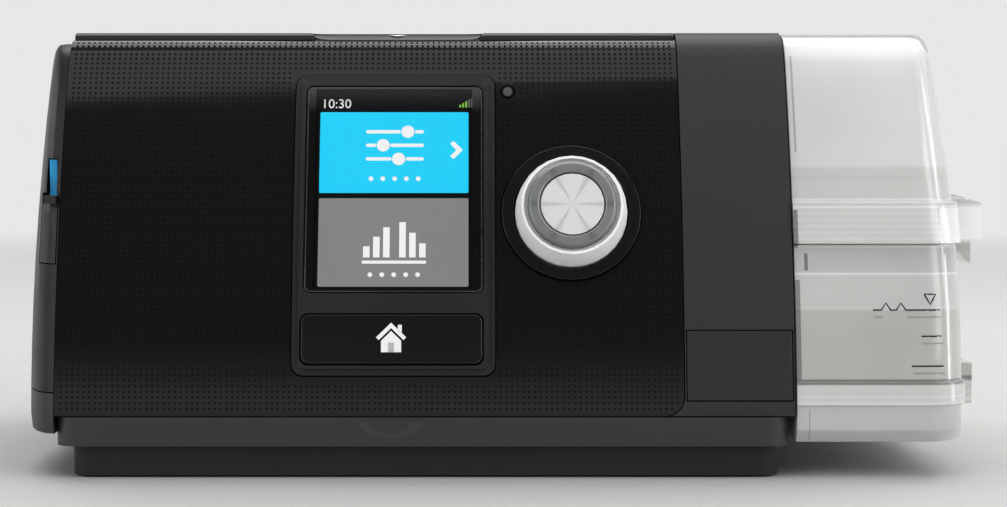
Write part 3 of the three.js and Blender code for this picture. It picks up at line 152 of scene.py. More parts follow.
class Wire:
    # One socket of a shader tree; sums on it add Math nodes
    def __init__(self, surface, socket):
        self.surface = surface
        self.socket = socket

    def maths(self, operation, *values):
        return self.surface.add("ShaderNodeMath", {"operation": operation}, dict(enumerate(values)))

    def __add__(self, other):
        return self.maths("ADD", self, other)

    def __radd__(self, other):
        return self.maths("ADD", other, self)

    def __sub__(self, other):
        return self.maths("SUBTRACT", self, other)

    def __rsub__(self, other):
        return self.maths("SUBTRACT", other, self)

    def __mul__(self, other):
        return self.maths("MULTIPLY", self, other)

    def __rmul__(self, other):
        return self.maths("MULTIPLY", other, self)

    def __truediv__(self, other):
        return self.maths("DIVIDE", self, other)

    def __rtruediv__(self, other):
        return self.maths("DIVIDE", other, self)

    def __pow__(self, other):
        return self.maths("POWER", self, other)

    def __gt__(self, other):
        return self.maths("GREATER_THAN", self, other)

    def __lt__(self, other):
        return self.maths("LESS_THAN", self, other)


class Surface:
    # A material's node tree
    def __init__(self, name, world=None):
        owner = world or bpy.data.materials.new(name)
        owner.use_nodes = True
        self.owner = owner
        self.tree = owner.node_tree
        self.tree.nodes.clear()

    def add(self, kind, settings=None, values=None, output=0):
        node = self.tree.nodes.new(kind)
        for key, value in (settings or {}).items():
            if key == "stops":
                ramp = node.color_ramp
                while len(ramp.elements) < len(value):
                    ramp.elements.new(0.5)
                for element, (position, tone) in zip(ramp.elements, value):
                    element.position = position
                    element.color = tone
            else:
                setattr(node, key, value)
        for key, value in (values or {}).items():
            self.feed(node.inputs[key], value)
        return Wire(self, node.outputs[output]) if len(node.outputs) else None

    def feed(self, socket, value):
        if isinstance(value, Wire):
            self.tree.links.new(value.socket, socket)
        else:
            socket.default_value = value

    def place(self):
        return self.add("ShaderNodeTexCoord", output="Object")

    def along(self, axis, where=None):
        return self.add("ShaderNodeSeparateXYZ", None, {"Vector": where or self.place()}, output=axis)

    def noise(self, scale, detail=3, roughness=0.5, at=None, stretch=None):
        where = at or self.place()
        if stretch:
            where = self.add("ShaderNodeMapping", None, {"Vector": where, "Scale": stretch})
        return self.add("ShaderNodeTexNoise", None,
                        {"Vector": where, "Scale": scale, "Detail": detail, "Roughness": roughness})

    def blend(self, factor, first, second):
        return self.add("ShaderNodeMix", {"data_type": "RGBA"},
                        {0: factor, 6: first, 7: second}, output=2)

    def times(self, tone, factor):
        return self.add("ShaderNodeMix", {"data_type": "RGBA", "blend_type": "MULTIPLY"},
                        {0: 1.0, 6: tone, 7: factor}, output=2)

    def ramp(self, value, low, high, outLow=0.0, outHigh=1.0):
        return self.add("ShaderNodeMapRange", None,
                        {"Value": value, "From Min": low, "From Max": high,
                         "To Min": outLow, "To Max": outHigh})

    def bump(self, height, strength, distance):
        return self.add("ShaderNodeBump", None,
                        {"Height": height, "Strength": strength, "Distance": distance})

    def finish(self, values):
        shader = self.add("ShaderNodeBsdfPrincipled", None, values)
        self.add("ShaderNodeOutputMaterial", None, {"Surface": shader})
        return self.owner


room = {
    "horizon": (0.80, 0.80, 0.797, 1), "horizonTo": 0.12, "above": (0.13, 0.13, 0.132, 1), "aboveFrom": 0.3,
    "floorReach": 30, "floorSides": 64, "farFrom": 0.5, "farTo": 1.4,
}


def seenRays(surface):
    # 1 for the rays that show the room: camera, gloss and clear parts
    path = {name: surface.add("ShaderNodeLightPath", output=name)
            for name in ("Is Camera Ray", "Is Glossy Ray", "Is Transmission Ray")}
    total = path["Is Camera Ray"] + path["Is Glossy Ray"] + path["Is Transmission Ray"]
    return total.maths("MINIMUM", total, 1.0)


def makeRoom():
    world = bpy.data.worlds.new("studio")
    bpy.context.scene.world = world
    sky = Surface("studio", world)
    ray = sky.add("ShaderNodeTexCoord", output="Generated")
    tone = sky.add("ShaderNodeValToRGB", {"stops": [
        (0.0, room["horizon"]), (room["horizonTo"], room["horizon"]), (room["aboveFrom"], room["above"]),
        (1.0, room["above"])]}, {"Fac": sky.along("Z", ray)})
    glow = sky.add("ShaderNodeBackground", None, {"Color": tone, "Strength": 1.0})
    sky.add("ShaderNodeOutputWorld", None, {"Surface": glow})

    mesh = bpy.data.meshes.new("floor")
    sides = room["floorSides"]
    rim = [(x, y, 0) for x, y in circle(0, 0, room["floorReach"], sides)]
    mesh.from_pydata(rim, [], [tuple(range(sides))])
    floor = bpy.data.objects.new("floor", mesh)
    bpy.context.scene.collection.objects.link(floor)
    paper = Surface("floorPaper")
    mottled = paper.blend(paper.noise(6), colour("bcbcba"), colour("c2c2c0"))
    near = paper.add("ShaderNodeBsdfPrincipled", None, {"Base Color": mottled, "Roughness": 0.75})
    far = paper.add("ShaderNodeEmission", None, {"Color": room["horizon"], "Strength": 1.0})
    where = paper.add("ShaderNodeVectorMath", {"operation": "LENGTH"}, {0: paper.place()}, output="Value")
    share = paper.ramp(where, room["farFrom"], room["farTo"]) * seenRays(paper)
    mixed = paper.add("ShaderNodeMixShader", None, {0: share, 1: near, 2: far})
    paper.add("ShaderNodeOutputMaterial", None, {"Surface": mixed})
    mesh.materials.append(paper.owner)


makeCamera()
makeLamps()
makeRoom()
print("camera, lamps and floor made")


# Finishes

def moulded(name, tone, roughness=0.5, grain=0.12, size=2600, shift=0.06, coat=0.0, shine=0.25):
    # Textured plastic: spark-eroded grain, faint flow shading and handling marks
    surface = Surface(name)
    base = colour(tone)
    pits = surface.noise(size, 2, 0.6)
    flow = surface.blend(surface.noise(14, 4), shaded(base, 1 - shift), shaded(base, 1 + shift, 0.002))
    final = surface.times(flow, surface.ramp(pits, 0.35, 0.65, 0.92, 1.06))
    marks = surface.noise(45, 5, 0.65)
    gloss = surface.ramp(marks, 0.3, 0.7, roughness - 0.03, roughness + 0.04)
    normal = surface.bump(pits, grain, 0.0001)
    return surface.finish({"Base Color": final, "Roughness": gloss, "Normal": normal,
                           "Coat Weight": coat, "Coat Roughness": 0.12, "Specular IOR Level": shine})


def glossBlack(name, tone, smear=0.05, roughness=0.07):
    # Lacquered black with very faint wiping marks
    surface = Surface(name)
    wipes = surface.noise(22, 5, 0.6, stretch=(1, 1, 0.35))
    fine = surface.noise(420, 3, 0.7)
    base = surface.blend(wipes, colour(tone), shaded(colour(tone), 1.15, 0.0006))
    gloss = surface.ramp(wipes, 0.35, 0.7, roughness, roughness + smear) + fine * 0.02
    normal = surface.bump(surface.noise(60, 2), 0.02, 0.0003)
    return surface.finish({"Base Color": base, "Roughness": gloss, "Normal": normal,
                           "Specular IOR Level": 0.32})


def metal(name, tone, roughness=0.3, centre=None, axisTurn=None, lines=700, metallic=1.0):
    # Bare or anodised metal; turned parts get rings and fine radial streaks about their axis, and painted
    # highlights in six lobes round it
    surface = Surface(name)
    base = colour(tone)
    if centre:
        where = surface.add("ShaderNodeMapping", {"vector_type": "TEXTURE"},
                            {"Vector": surface.place(), "Location": centre, "Rotation": axisTurn})
        x, y = surface.along("X", where), surface.along("Y", where)
        turn = x.maths("ARCTAN2", y, x)
        reach = (x * x + y * y) ** 0.5
        around = surface.add("ShaderNodeCombineXYZ", None, {"X": turn * 14, "Y": reach * 60})
        streak = surface.noise(5, 4, 0.7, at=around)
        rings = surface.noise(1, 2, 0.5, at=surface.add(
            "ShaderNodeCombineXYZ", None, {"X": reach * 9000, "Y": turn * 0.2}))
        # Painted highlight: six lighter lobes round the axis, as light catches the turned grooves
        paintedSheenFan = (turn * 3).maths("SINE", turn * 3)
        paintedSheenFan = surface.ramp(paintedSheenFan.maths("ABSOLUTE", paintedSheenFan), 0, 0.45)
        mark = streak * 0.35 + rings * 0.35 + paintedSheenFan * 0.3
    else:
        mark = surface.noise(lines, 3, 0.6, stretch=(0.04, 1, 1))
    shade = surface.blend(surface.ramp(mark, 0.25, 0.75), shaded(base, 0.82), base)
    gloss = surface.ramp(mark, 0.3, 0.7, roughness - 0.06, roughness + 0.1)
    return surface.finish({"Base Color": shade, "Metallic": metallic, "Roughness": gloss,
                           "Normal": surface.bump(mark, 0.06, 0.0001)})


def clearFilm(name, tone, alpha, rim, roughness=0.16, cloud=0.05):
    # Water, and the soft shadows of the level marks: seen edge-on they turn denser and brighter
    surface = Surface(name)
    haze = surface.noise(26, 4, 0.6)
    drops = surface.noise(700, 2, 0.5)
    edge = surface.add("ShaderNodeLayerWeight", None, {"Blend": 0.42}, output="Facing") ** 1.6
    deep = surface.blend(haze, shaded(colour(tone), 0.9), colour(tone))
    tint = surface.blend(edge, deep, colour("f4f4f3"))
    veil = surface.ramp(haze, 0.3, 0.7, alpha - cloud, alpha + cloud)
    veil = veil + (rim - veil) * edge
    gloss = surface.ramp(drops, 0.3, 0.7, roughness - 0.05, roughness + 0.06)
    return surface.finish({"Base Color": tint, "Roughness": gloss, "Alpha": veil,
                           "Coat Weight": 1.0, "Coat Roughness": 0.05, "Specular IOR Level": 0.7,
                           "Normal": surface.bump(drops, 0.02, 0.0002)})


# Tone of the tub by height in mm, as its walls, seal and water show through; the bright lines along its rims
# and its top are painted highlights
tubToneAndPaintedLight = [
    (0, "c4c4c3"), (18.9, "d2d2d1"), (19.2, "fafaf9"), (19.9, "e2e2e0"), (20.8, "dadad8"),
    (21.1, "fafaf9"), (21.5, "dcdcda"), (24.2, "e0e0de"), (24.5, "7c7c7a"), (25.4, "777775"),
    (25.8, "c6c6c3"), (43.3, "c9c9c6"), (43.7, "e6e6e4"), (44.1, "d8d8d6"), (52.3, "d8d8d6"),
    (52.6, "fdfdfc"), (53.0, "cfcfcd"), (59.0, "c4c4c2"), (59.4, "e2e2e0"), (69.4, "e2e2e0"),
    (69.7, "ffffff"), (70.2, "dcdcda"), (71.2, "dadad8"), (71.5, "ffffff"), (71.9, "dcdcda"),
    (77.0, "dadad8"), (77.25, "a6a6a4"), (77.5, "d8d8d6"), (80.0, "dadad8"), (80.3, "e9e9e8"),
    (107.5, "e6e6e5"), (110.8, "fbfbfb"),
]
# Painted shade in dark slots seen through its front wall, and painted highlights (glints) on it: left, right,
# low, high in mm, and how strong
tubPaintedShadeSlots = [
    (75.1, 76.3, 59.2, 69.0, 0.7), (77.8, 78.7, 53.4, 57.8, 0.7), (75.0, 76.5, 25.6, 51.0, 0.6),
    (76.4, 77.0, 84.0, 109.5, 0.4), (78.2, 78.6, 10.0, 18.0, 0.35),
]
tubGlints = [(114.5, 115.0, 25.6, 57.6, 0.7), (113.4, 130.0, 59.8, 69.4, 0.85)]
# In mm: the front wall, the fine ribs of the lid's flange, the leaning painted highlight down the lid's
# corner, and the crown, which gets painted shade above a height and behind a depth
tubMarks = {
    "height": 116, "frontTo": -34, "ribsLow": 59.4, "ribsHigh": 69.4, "ribTurns": 3.9,
    "highlightAt": 115.2, "highlightLean": 0.025, "highlightHalf": 0.3, "highlightLow": 72.2, "highlightHigh": 110.5,
    "crown": [(108.5, -36), (110.5, -41)], "paintedLightShare": 0.75,
}


def tubPlastic(name, alpha):
    # Clear moulding that has gone slightly milky, with painted highlights, painted shade and a painted glow
    # laid into its tone
    surface = Surface(name)
    x, y, z = (surface.along(axis) / mm for axis in "XYZ")
    haze = surface.noise(17, 3, 0.5)
    drops = surface.noise(260, 2, 0.4)
    height = tubMarks["height"]
    stops = [(level / height, colour(ink)) for level, ink in tubToneAndPaintedLight]
    tone = surface.add("ShaderNodeValToRGB", {"stops": stops}, {"Fac": z / height})
    wave = z * tubMarks["ribTurns"]
    ribs = wave.maths("SINE", wave) * (z > tubMarks["ribsLow"]) * (z < tubMarks["ribsHigh"])
    tone = surface.times(tone, surface.ramp(haze, 0.25, 0.75, 0.93, 1.06) + ribs * 0.05)
    inFront = y < tubMarks["frontTo"]
    # Painted shade in the dark slots and painted highlights in the glints; the glints also add up to a
    # painted glow
    shine = 0.0
    for plans, ink in ((tubPaintedShadeSlots, "4a4a48"), (tubGlints, "ffffff")):
        for left, right, low, high, strength in plans:
            inside = (x > left) * (x < right) * (z > low) * (z < high) * inFront * strength
            tone = surface.blend(inside, tone, colour(ink))
            if plans is tubGlints:
                shine = shine + inside
    # Painted highlight: a leaning bright line down the lid's corner
    aside = x + z * tubMarks["highlightLean"] - tubMarks["highlightAt"]
    line = (aside.maths("ABSOLUTE", aside) < tubMarks["highlightHalf"]) * inFront
    line = line * (z > tubMarks["highlightLow"]) * (z < tubMarks["highlightHigh"])
    tone = surface.blend(line * tubMarks["paintedLightShare"], tone, colour("ffffff"))
    # Painted shade: the crown is darker above a height and behind a depth
    (lowHeight, lowDepth), (highHeight, highDepth) = tubMarks["crown"]
    crown = (z > lowHeight) * (y > lowDepth) + (z > highHeight) * (y > highDepth)
    tone = surface.blend(crown.maths("MINIMUM", crown, 1.0) * tubMarks["paintedLightShare"], tone, colour("a9a9a7"))
    edge = surface.add("ShaderNodeLayerWeight", None, {"Blend": 0.35}, output="Facing") ** 2
    tone = surface.blend(edge, tone, colour("f2f2f1"))
    veil = surface.ramp(haze, 0.3, 0.7, alpha - 0.04, alpha + 0.04)
    veil = veil + (0.96 - veil) * edge
    # Painted glow on the glints: they give off light though they are no lamp
    lit = surface.blend(shine, (0, 0, 0, 1), colour("5a5a5a"))
    gloss = surface.ramp(drops, 0.3, 0.7, 0.2, 0.26)
    return surface.finish({"Base Color": tone, "Roughness": gloss, "Alpha": veil,
                           "Emission Color": lit, "Emission Strength": 1.0,
                           "Coat Weight": 0.6, "Coat Roughness": 0.06,
                           "Normal": surface.bump(haze, 0.05, 0.0006)})


def matt(name, tone):
    # Ink with hardly any shine of its own
    surface = Surface(name)
    base = colour(tone)
    patchy = surface.noise(300, 3)
    shade = surface.blend(patchy, shaded(base, 0.8), shaded(base, 1.2))
    return surface.finish({"Base Color": shade, "Roughness": surface.ramp(patchy, 0, 1, 0.7, 0.9),
                           "Specular IOR Level": 0.08})


def glowing(name, tone, strength=1.0, scan=0.03):
    # A lit patch of the display: cell structure and slow unevenness of the backlight
    surface = Surface(name)
    uneven = surface.noise(38, 2)
    cells = surface.noise(5200, 1)
    base = colour(tone)
    lit = surface.blend(uneven * 0.7 + cells * 0.3, shaded(base, 1 - scan), shaded(base, 1 + scan))
    return surface.finish({"Base Color": (0.005, 0.005, 0.005, 1), "Roughness": 0.4,
                           "Emission Color": lit, "Emission Strength": strength})


def soft(name, tone, roughness=0.75, size=900, depth=0.3):
    # Rubber, felt and foam: open, uneven, matt
    surface = Surface(name)
    base = colour(tone)
    cells = surface.noise(size, 4, 0.7)
    shade = surface.blend(surface.ramp(cells, 0.3, 0.7), shaded(base, 0.7), shaded(base, 1.2))
    return surface.finish({"Base Color": shade, "Roughness": surface.ramp(cells, 0, 1, roughness - 0.1, 0.95),
                           "Normal": surface.bump(cells, depth, 0.0002)})


lensWindow = {"left": -49.7, "right": -8.4, "low": 49.0, "high": 100.6, "glareFrom": 94.5, "glareTo": 103.5}


def windowedLens(name, tone):
    # Hard-coated clear cover, printed black round the lit window, with a painted reflection towards the
    # window's top
    surface = Surface(name)
    x, z = surface.along("X") / mm, surface.along("Z") / mm
    inside = (x > lensWindow["left"]) * (x < lensWindow["right"])
    inside = inside * (z > lensWindow["low"]) * (z < lensWindow["high"])
    smears = surface.noise(35, 4, 0.6)
    gloss = surface.ramp(smears, 0.35, 0.75, 0.04, 0.11)
    # Painted reflection: the window turns lighter grey and less clear towards its top
    glare = surface.ramp(z, lensWindow["glareFrom"], lensWindow["glareTo"])
    clear = 0.98 - inside * (0.9 - glare * 0.35)
    base = surface.blend(smears, colour(tone), colour("101012"))
    base = surface.blend(glare * 0.8, base, colour("626265"))
    return surface.finish({"Base Color": base, "Roughness": gloss, "Alpha": clear, "Specular IOR Level": 0.3,
                           "Normal": surface.bump(smears, 0.01, 0.0002)})


dimple = {"x": -29.4, "z": 15.2, "halfWidth": 8.2, "halfHeight": 4.2, "depth": 1.2}


def skirtPlastic(name, tone):
    # The grained skirt, with the shallow finger dimple under the display, darkened by painted shade
    surface = Surface(name)
    across = (surface.along("X") / mm - dimple["x"]) / dimple["halfWidth"]
    down = (surface.along("Z") / mm - dimple["z"]) / dimple["halfHeight"]
    bowl = surface.ramp(across * across + down * down, 0.25, 1.05, 1, 0)
    pits = surface.noise(2600, 2, 0.6)
    base = colour(tone)
    shade = surface.blend(surface.noise(14, 4), shaded(base, 0.9), shaded(base, 1.12))
    # Painted shade in the finger dimple
    shade = surface.blend(bowl * 0.35, shade, colour("1e1e1d"))
    coarse = surface.bump(pits, 0.14, 0.0001)
    dent = surface.add("ShaderNodeBump", {"invert": True}, {
        "Height": bowl, "Strength": 0.8, "Distance": dimple["depth"] * mm, "Normal": coarse})
    gloss = surface.ramp(surface.noise(45, 5), 0.3, 0.7, 0.45, 0.58)
    return surface.finish({"Base Color": shade, "Roughness": gloss, "Normal": dent})


# The dial's middle on the panel, and its axis, which leans back with the face
dial = {"x": 17.4, "v": 1.6}
dialMiddle = tuple(panelFrame @ Vector((dial["x"], dial["v"], 0)))
dialTurn = (radians(90) - faceLean(front["panelZ"]), 0, 0)
finishes = {
    "plinth": moulded("plinthPlastic", "242423", 0.55, 0.2),
    "chassis": skirtPlastic("skirtPlastic", "292928"),
    "foot_rubber": soft("footRubber", "1c1c1c", 0.8, 1500, 0.2),
    "screw_steel": metal("zincSteel", "a9abad", 0.35),
    "fascia": glossBlack("fasciaLacquer", "0e0e0e"),
    "bezel": moulded("bezelPlastic", "252525", 0.34, 0.05, 3200),
    "lens": windowedLens("lensCover", "0b0b0c"),
    "display": glossBlack("displayCell", "0a0b0d", 0.03, 0.2),
    "home": glossBlack("homeButtonLacquer", "121212", 0.04, 0.12),
    "sensor": glossBlack("sensorLens", "505254", 0.05, 0.12),
    "board": moulded("boardLacquer", "1d5a3c", 0.3, 0.1, 900),
    "switch_body": moulded("switchPlastic", "202020", 0.45),
    "encoder_case": metal("pressedSheet", "b3b4b6", 0.3),
    "trim_ring": glossBlack("ringLacquer", "131315", 0.04, 0.12),
    "dial_white": moulded("dialWhite", "fdfdfc", 0.42, 0.04, 3000, 0.01),
    "dial_metal": metal("dialAnodised", "8d8f90", 0.46, dialMiddle, dialTurn),
    "dial_brushed": metal("dialBrushed", "f2f3f2", 0.4, dialMiddle, dialTurn, metallic=0.55),
    "start_button": moulded("startButtonPlastic", "2c2c2c", 0.4, 0.08),
    "top_cover": moulded("topCoverPlastic", "2e2e2d", 0.48, 0.14),
    "filter_door": moulded("filterDoorPlastic", "2a2a29", 0.5, 0.16),
    "filter_media": soft("filterFelt", "d3d7d9", 0.9, 1400, 0.5),
    "intake_plastic": moulded("intakePlastic", "222222", 0.5),
    "foam": soft("openFoam", "3c3c3e", 0.95, 700, 0.9),
    "boot_rubber": soft("paleSilicone", "8a8a8c", 0.5, 1200, 0.1),
    "volute_plastic": moulded("volutePlastic", "c9c9c5", 0.45),
    "impeller_plastic": moulded("impellerPlastic", "dededa", 0.4),
    "motor_case": moulded("motorCoating", "4c4e52", 0.3, 0.1, 1800, coat=0.3),
    "bearing_steel": metal("groundSteel", "cfd0d2", 0.18),
    "inlet_plastic": moulded("inletPlastic", "151515", 0.45),
    "side_panel": moulded("sidePanelPlastic", "212120", 0.42, 0.1),
    "card_door_grey": moulded("cardDoorPlastic", "2b2b2b", 0.42, 0.1),
    "card_blue": moulded("cardPlastic", "3ab6fb", 0.4, 0.06),
    "card_cage": metal("cageSheet", "b9babc", 0.28),
    "dock_grey": moulded("dockPlastic", "2e2e2d", 0.5, 0.14),
    "dock_plate_grey": moulded("platePlastic", "2c2c2b", 0.38, 0.06),
    "liner": moulded("linerPlastic", "202020", 0.42, 0.06),
    "heater_metal": metal("heaterAluminium", "b4b5b7", 0.32),
    "outlet": moulded("outletPlastic", "282828", 0.4, 0.06),
    "tub_clear": tubPlastic("tubClear", 0.72),
    "tub_seal": soft("sealSilicone", "b6b8ba", 0.5, 1200, 0.08),
    "tub_plate": metal("tubPlateSteel", "bcbdbf", 0.3),
}
nodeSlots = {part["node"]: part["material_slot"] for part in frame["record"]["subparts"]}
for node, slotName in nodeSlots.items():
    mesh = frame["nodes"][node].data
    mesh.materials.clear()
    mesh.materials.append(finishes["tub_clear" if node == "lid_clip_pin" else slotName])
print("finishes made:", len(finishes))


# Dressed copies of the mouldings, with their edges rounded off

def addPiece(name, mesh, body, slotName, material=None):
    piece = bpy.data.objects.new(name, mesh)
    bpy.context.scene.collection.objects.link(piece)
    mesh.materials.clear()
    mesh.materials.append(material or finishes[slotName])
    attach(piece, body)
    return piece


def bodyOf(node):
    for body, members in frame["record"]["behaviour"]["bodies"].items():
        if node in members:
            return body


def flatFacesKept(mesh, name):
    # Large faces keep their own direction, so that the roundings don't bend the light on them
    holder = bpy.data.objects.new(name + "_hold", mesh)
    bpy.context.scene.collection.objects.link(holder)
    weighting = holder.modifiers.new("weighting", "WEIGHTED_NORMAL")
    weighting.keep_sharp = True
    bpy.context.view_layer.update()
    result = bpy.data.meshes.new_from_object(holder.evaluated_get(bpy.context.evaluated_depsgraph_get()))
    holder.modifiers.remove(weighting)
    bpy.data.objects.remove(holder)
    result.name = name
    return result


# Angles in degrees: facets that lie flatter are joined, edges that are sharper are rounded or kept sharp
edging = {"merge": 0.02, "joinBelow": 0.6, "roundAbove": 32, "segments": 2, "profile": 0.6, "sharpAbove": 40}


def rounded(node, width):
    mesh = frame["nodes"][node].data.copy()
    build = bmesh.new()
    build.from_mesh(mesh)
    bmesh.ops.remove_doubles(build, verts=build.verts, dist=edging["merge"] * mm)
    bmesh.ops.dissolve_limit(build, angle_limit=radians(edging["joinBelow"]),
                             verts=build.verts, edges=build.edges)
    edges = [edge for edge in build.edges if len(edge.link_faces) == 2
             and edge.calc_face_angle(0) > radians(edging["roundAbove"])]
    bmesh.ops.bevel(build, geom=edges, offset=width * mm, segments=edging["segments"],
                    profile=edging["profile"], affect="EDGES", clamp_overlap=True)
    bmesh.ops.triangulate(build, faces=[f for f in build.faces if len(f.verts) > 4])
    build.to_mesh(mesh)
    build.free()
    mesh.shade_smooth()
    mesh.set_sharp_from_angle(angle=radians(edging["sharpAbove"]))
    mesh = flatFacesKept(mesh, node + "_form")
    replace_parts(addPiece(node + "_form", mesh, bodyOf(node), nodeSlots[node]), node)


# Width of the rounding in mm
roundings = {
    "base_plinth": 1.2, "base_chassis": 0.5, "front_fascia": 0.35, "display_bezel": 0.7,
    "home_button": 0.3, "start_stop_button": 0.4, "top_rear_cover": 0.4, "left_side_panel": 0.3,
    "card_door": 0.25, "memory_card": 0.2, "accessory_cover": 0.2, "dock_cover": 0.3, "dock_plate": 0.3,
    "tub_lid": 0.5, "tub_container": 0.5, "tub_lid_clip": 1.1, "dial_skirt": 0.3, "dial_cap_ring": 0.25,
    "dial_cap_disc": 0.15, "dial_trim_ring": 0.2, "filter_cover": 0.3, "power_retention_clip": 0.2,
    "air_outlet_elbow": 0.3, "screen_lens": 0.25,
}
for node, width in roundings.items():
    rounded(node, width)
print("mouldings rounded:", len(roundings))


# Flat marks and small forms, drawn in mm on a frame and given a thickness

def joinRings(build, rings, hollow=False):
    # Walls from ring to ring; the ends are closed, or joined where it is hollow
    pairs = list(zip(rings, rings[1:]))
    if hollow:
        pairs.append((rings[-1], rings[0]))
    else:
        build.faces.new(rings[0][::-1])
        build.faces.new(rings[-1])
    for ring, after in pairs:
        for i in range(len(ring)):
            j = (i + 1) % len(ring)
            build.faces.new((ring[i], ring[j], after[j], after[i]))


def prism(outlines, low, high):
    build = bmesh.new()
    for outline in outlines:
        joinRings(build, [[build.verts.new((x, v, w)) for x, v in outline] for w in (low, high)])
    bmesh.ops.triangulate(build, faces=[f for f in build.faces if len(f.verts) > 4])
    return build


def meshFrom(build, name, place):
    bmesh.ops.recalc_face_normals(build, faces=build.faces)
    mesh = bpy.data.meshes.new(name)
    build.to_mesh(mesh)
    build.free()
    mesh.transform(place)
    return mesh


def mark(name, outlines, place, low, high, body, slotName, material):
    return addPiece(name, meshFrom(prism(outlines, low, high), name, place), body, slotName, material)


def roundRect(left, right, low, high, radius, steps=5):
    corners = [(right - radius, low + radius, -90), (right - radius, high - radius, 0),
               (left + radius, high - radius, 90), (left + radius, low + radius, 180)]
    turns = [(x, v, radians(start + 90 * i / steps)) for x, v, start in corners for i in range(steps + 1)]
    return [(x + radius * cos(a), v + radius * sin(a)) for x, v, a in turns]


def arcBand(x, v, radius, width, start, end, steps=20):
    turns = [radians(start + (end - start) * i / steps) for i in range(steps + 1)]
    outer = [(x + (radius + width / 2) * cos(a), v + (radius + width / 2) * sin(a)) for a in turns]
    inner = [(x + (radius - width / 2) * cos(a), v + (radius - width / 2) * sin(a)) for a in turns]
    return outer + inner[::-1]


# Repeats by geometry nodes

def growTree(name, sockets):
    tree = bpy.data.node_groups.new(name, "GeometryNodeTree")
    tree.interface.new_socket("Carrier", in_out="INPUT", socket_type="NodeSocketGeometry")
    for label, kind in sockets.items():
        tree.interface.new_socket(label, in_out="INPUT", socket_type="NodeSocket" + kind)
    tree.interface.new_socket("Finish", in_out="INPUT", socket_type="NodeSocketMaterial")
    tree.interface.new_socket("Result", in_out="OUTPUT", socket_type="NodeSocketGeometry")
    source = tree.nodes.new("NodeGroupInput")

    def add(kind, settings=None, values=None):
        node = tree.nodes.new(kind)
        for key, value in (settings or {}).items():
            setattr(node, key, value)
        for key, value in (values or {}).items():
            if isinstance(value, bpy.types.NodeSocket):
                tree.links.new(value, node.inputs[key])
            else:
                node.inputs[key].default_value = value
        return node

    def close(instances):
        solid = add("GeometryNodeRealizeInstances", None, {"Geometry": instances})
        coated = add("GeometryNodeSetMaterial", None,
                     {"Geometry": solid.outputs[0], "Material": source.outputs["Finish"]})
        tree.links.new(coated.outputs[0], tree.nodes.new("NodeGroupOutput").inputs[0])
        return tree
    return source.outputs, add, close


def grown(name, carrier, tree, values, body, slotName, material, place=None):
    holder = bpy.data.objects.new(name + "_grow", carrier)
    bpy.context.scene.collection.objects.link(holder)
    growth = holder.modifiers.new("growth", "NODES")
    growth.node_group = tree
    sockets = {item.name: item.identifier for item in tree.interface.items_tree if item.in_out == "INPUT"}
    for label, value in dict(values, Finish=material).items():
        growth[sockets[label]] = value
    bpy.context.view_layer.update()
    graph = bpy.context.evaluated_depsgraph_get()
    mesh = bpy.data.meshes.new_from_object(holder.evaluated_get(graph))
    holder.modifiers.remove(growth)
    bpy.data.objects.remove(holder)
    if place:
        mesh.transform(place)
    return addPiece(name, mesh, body, slotName, material)


def pointCloud(name, points, facings):
    mesh = bpy.data.meshes.new(name)
    mesh.from_pydata([tuple(point) for point in points], [], [])
    facing = mesh.attributes.new("facing", "FLOAT_VECTOR", "POINT")
    for i, direction in enumerate(facings):
        facing.data[i].vector = direction
    return mesh


def studTree():
    # A low tapered stud on every point, standing along its facing
    inputs, add, close = growTree("lowStuds", {
        "Radius": "Float", "Taper": "Float", "Height": "Float", "Sides": "Int"})
    shrink = add("ShaderNodeMath", {"operation": "MULTIPLY"}, {0: inputs["Radius"], 1: inputs["Taper"]})
    stud = add("GeometryNodeMeshCone", None, {
        "Vertices": inputs["Sides"], "Radius Bottom": inputs["Radius"], "Radius Top": shrink.outputs[0],
        "Depth": inputs["Height"]})
    facing = add("GeometryNodeInputNamedAttribute", {"data_type": "FLOAT_VECTOR"}, {"Name": "facing"})
    turn = add("FunctionNodeAlignRotationToVector", {"axis": "Z"}, {"Vector": facing.outputs[0]})
    spread = add("GeometryNodeInstanceOnPoints", None, {
        "Points": inputs["Carrier"], "Instance": stud.outputs[0], "Rotation": turn.outputs[0]})
    return close(spread.outputs[0])


def barTree():
    # Upright bars on a line, each higher than the last by the step
    inputs, add, close = growTree("barRow", {
        "Count": "Int", "Pitch": "Float", "Width": "Float", "Thickness": "Float",
        "First": "Float", "Step": "Float"})
    pitch = add("ShaderNodeCombineXYZ", None, {"X": inputs["Pitch"]})
    line = add("GeometryNodeMeshLine", None, {"Count": inputs["Count"], "Offset": pitch.outputs[0]})
    order = add("GeometryNodeInputIndex")
    height = add("ShaderNodeMath", {"operation": "MULTIPLY_ADD"},
                 {0: order.outputs[0], 1: inputs["Step"], 2: inputs["First"]})
    size = add("ShaderNodeCombineXYZ", None, {
        "X": inputs["Width"], "Y": height.outputs[0], "Z": inputs["Thickness"]})
    half = add("ShaderNodeMath", {"operation": "MULTIPLY"}, {0: height.outputs[0], 1: 0.5})
    lift = add("ShaderNodeCombineXYZ", None, {"Y": half.outputs[0]})
    raised = add("GeometryNodeSetPosition", None, {"Geometry": line.outputs[0], "Offset": lift.outputs[0]})
    bar = add("GeometryNodeMeshCube", None, {"Size": (1, 1, 1)})
    spread = add("GeometryNodeInstanceOnPoints", None, {
        "Points": raised.outputs[0], "Instance": bar.outputs[0], "Scale": size.outputs[0]})
    return close(spread.outputs[0])


studs = studTree()
bars = barTree()


# The fine dots on the front, in mm. None are printed round the display, the dial and the sensor, by the
# lower right corner and behind the start button. Heights beside the display run along the face

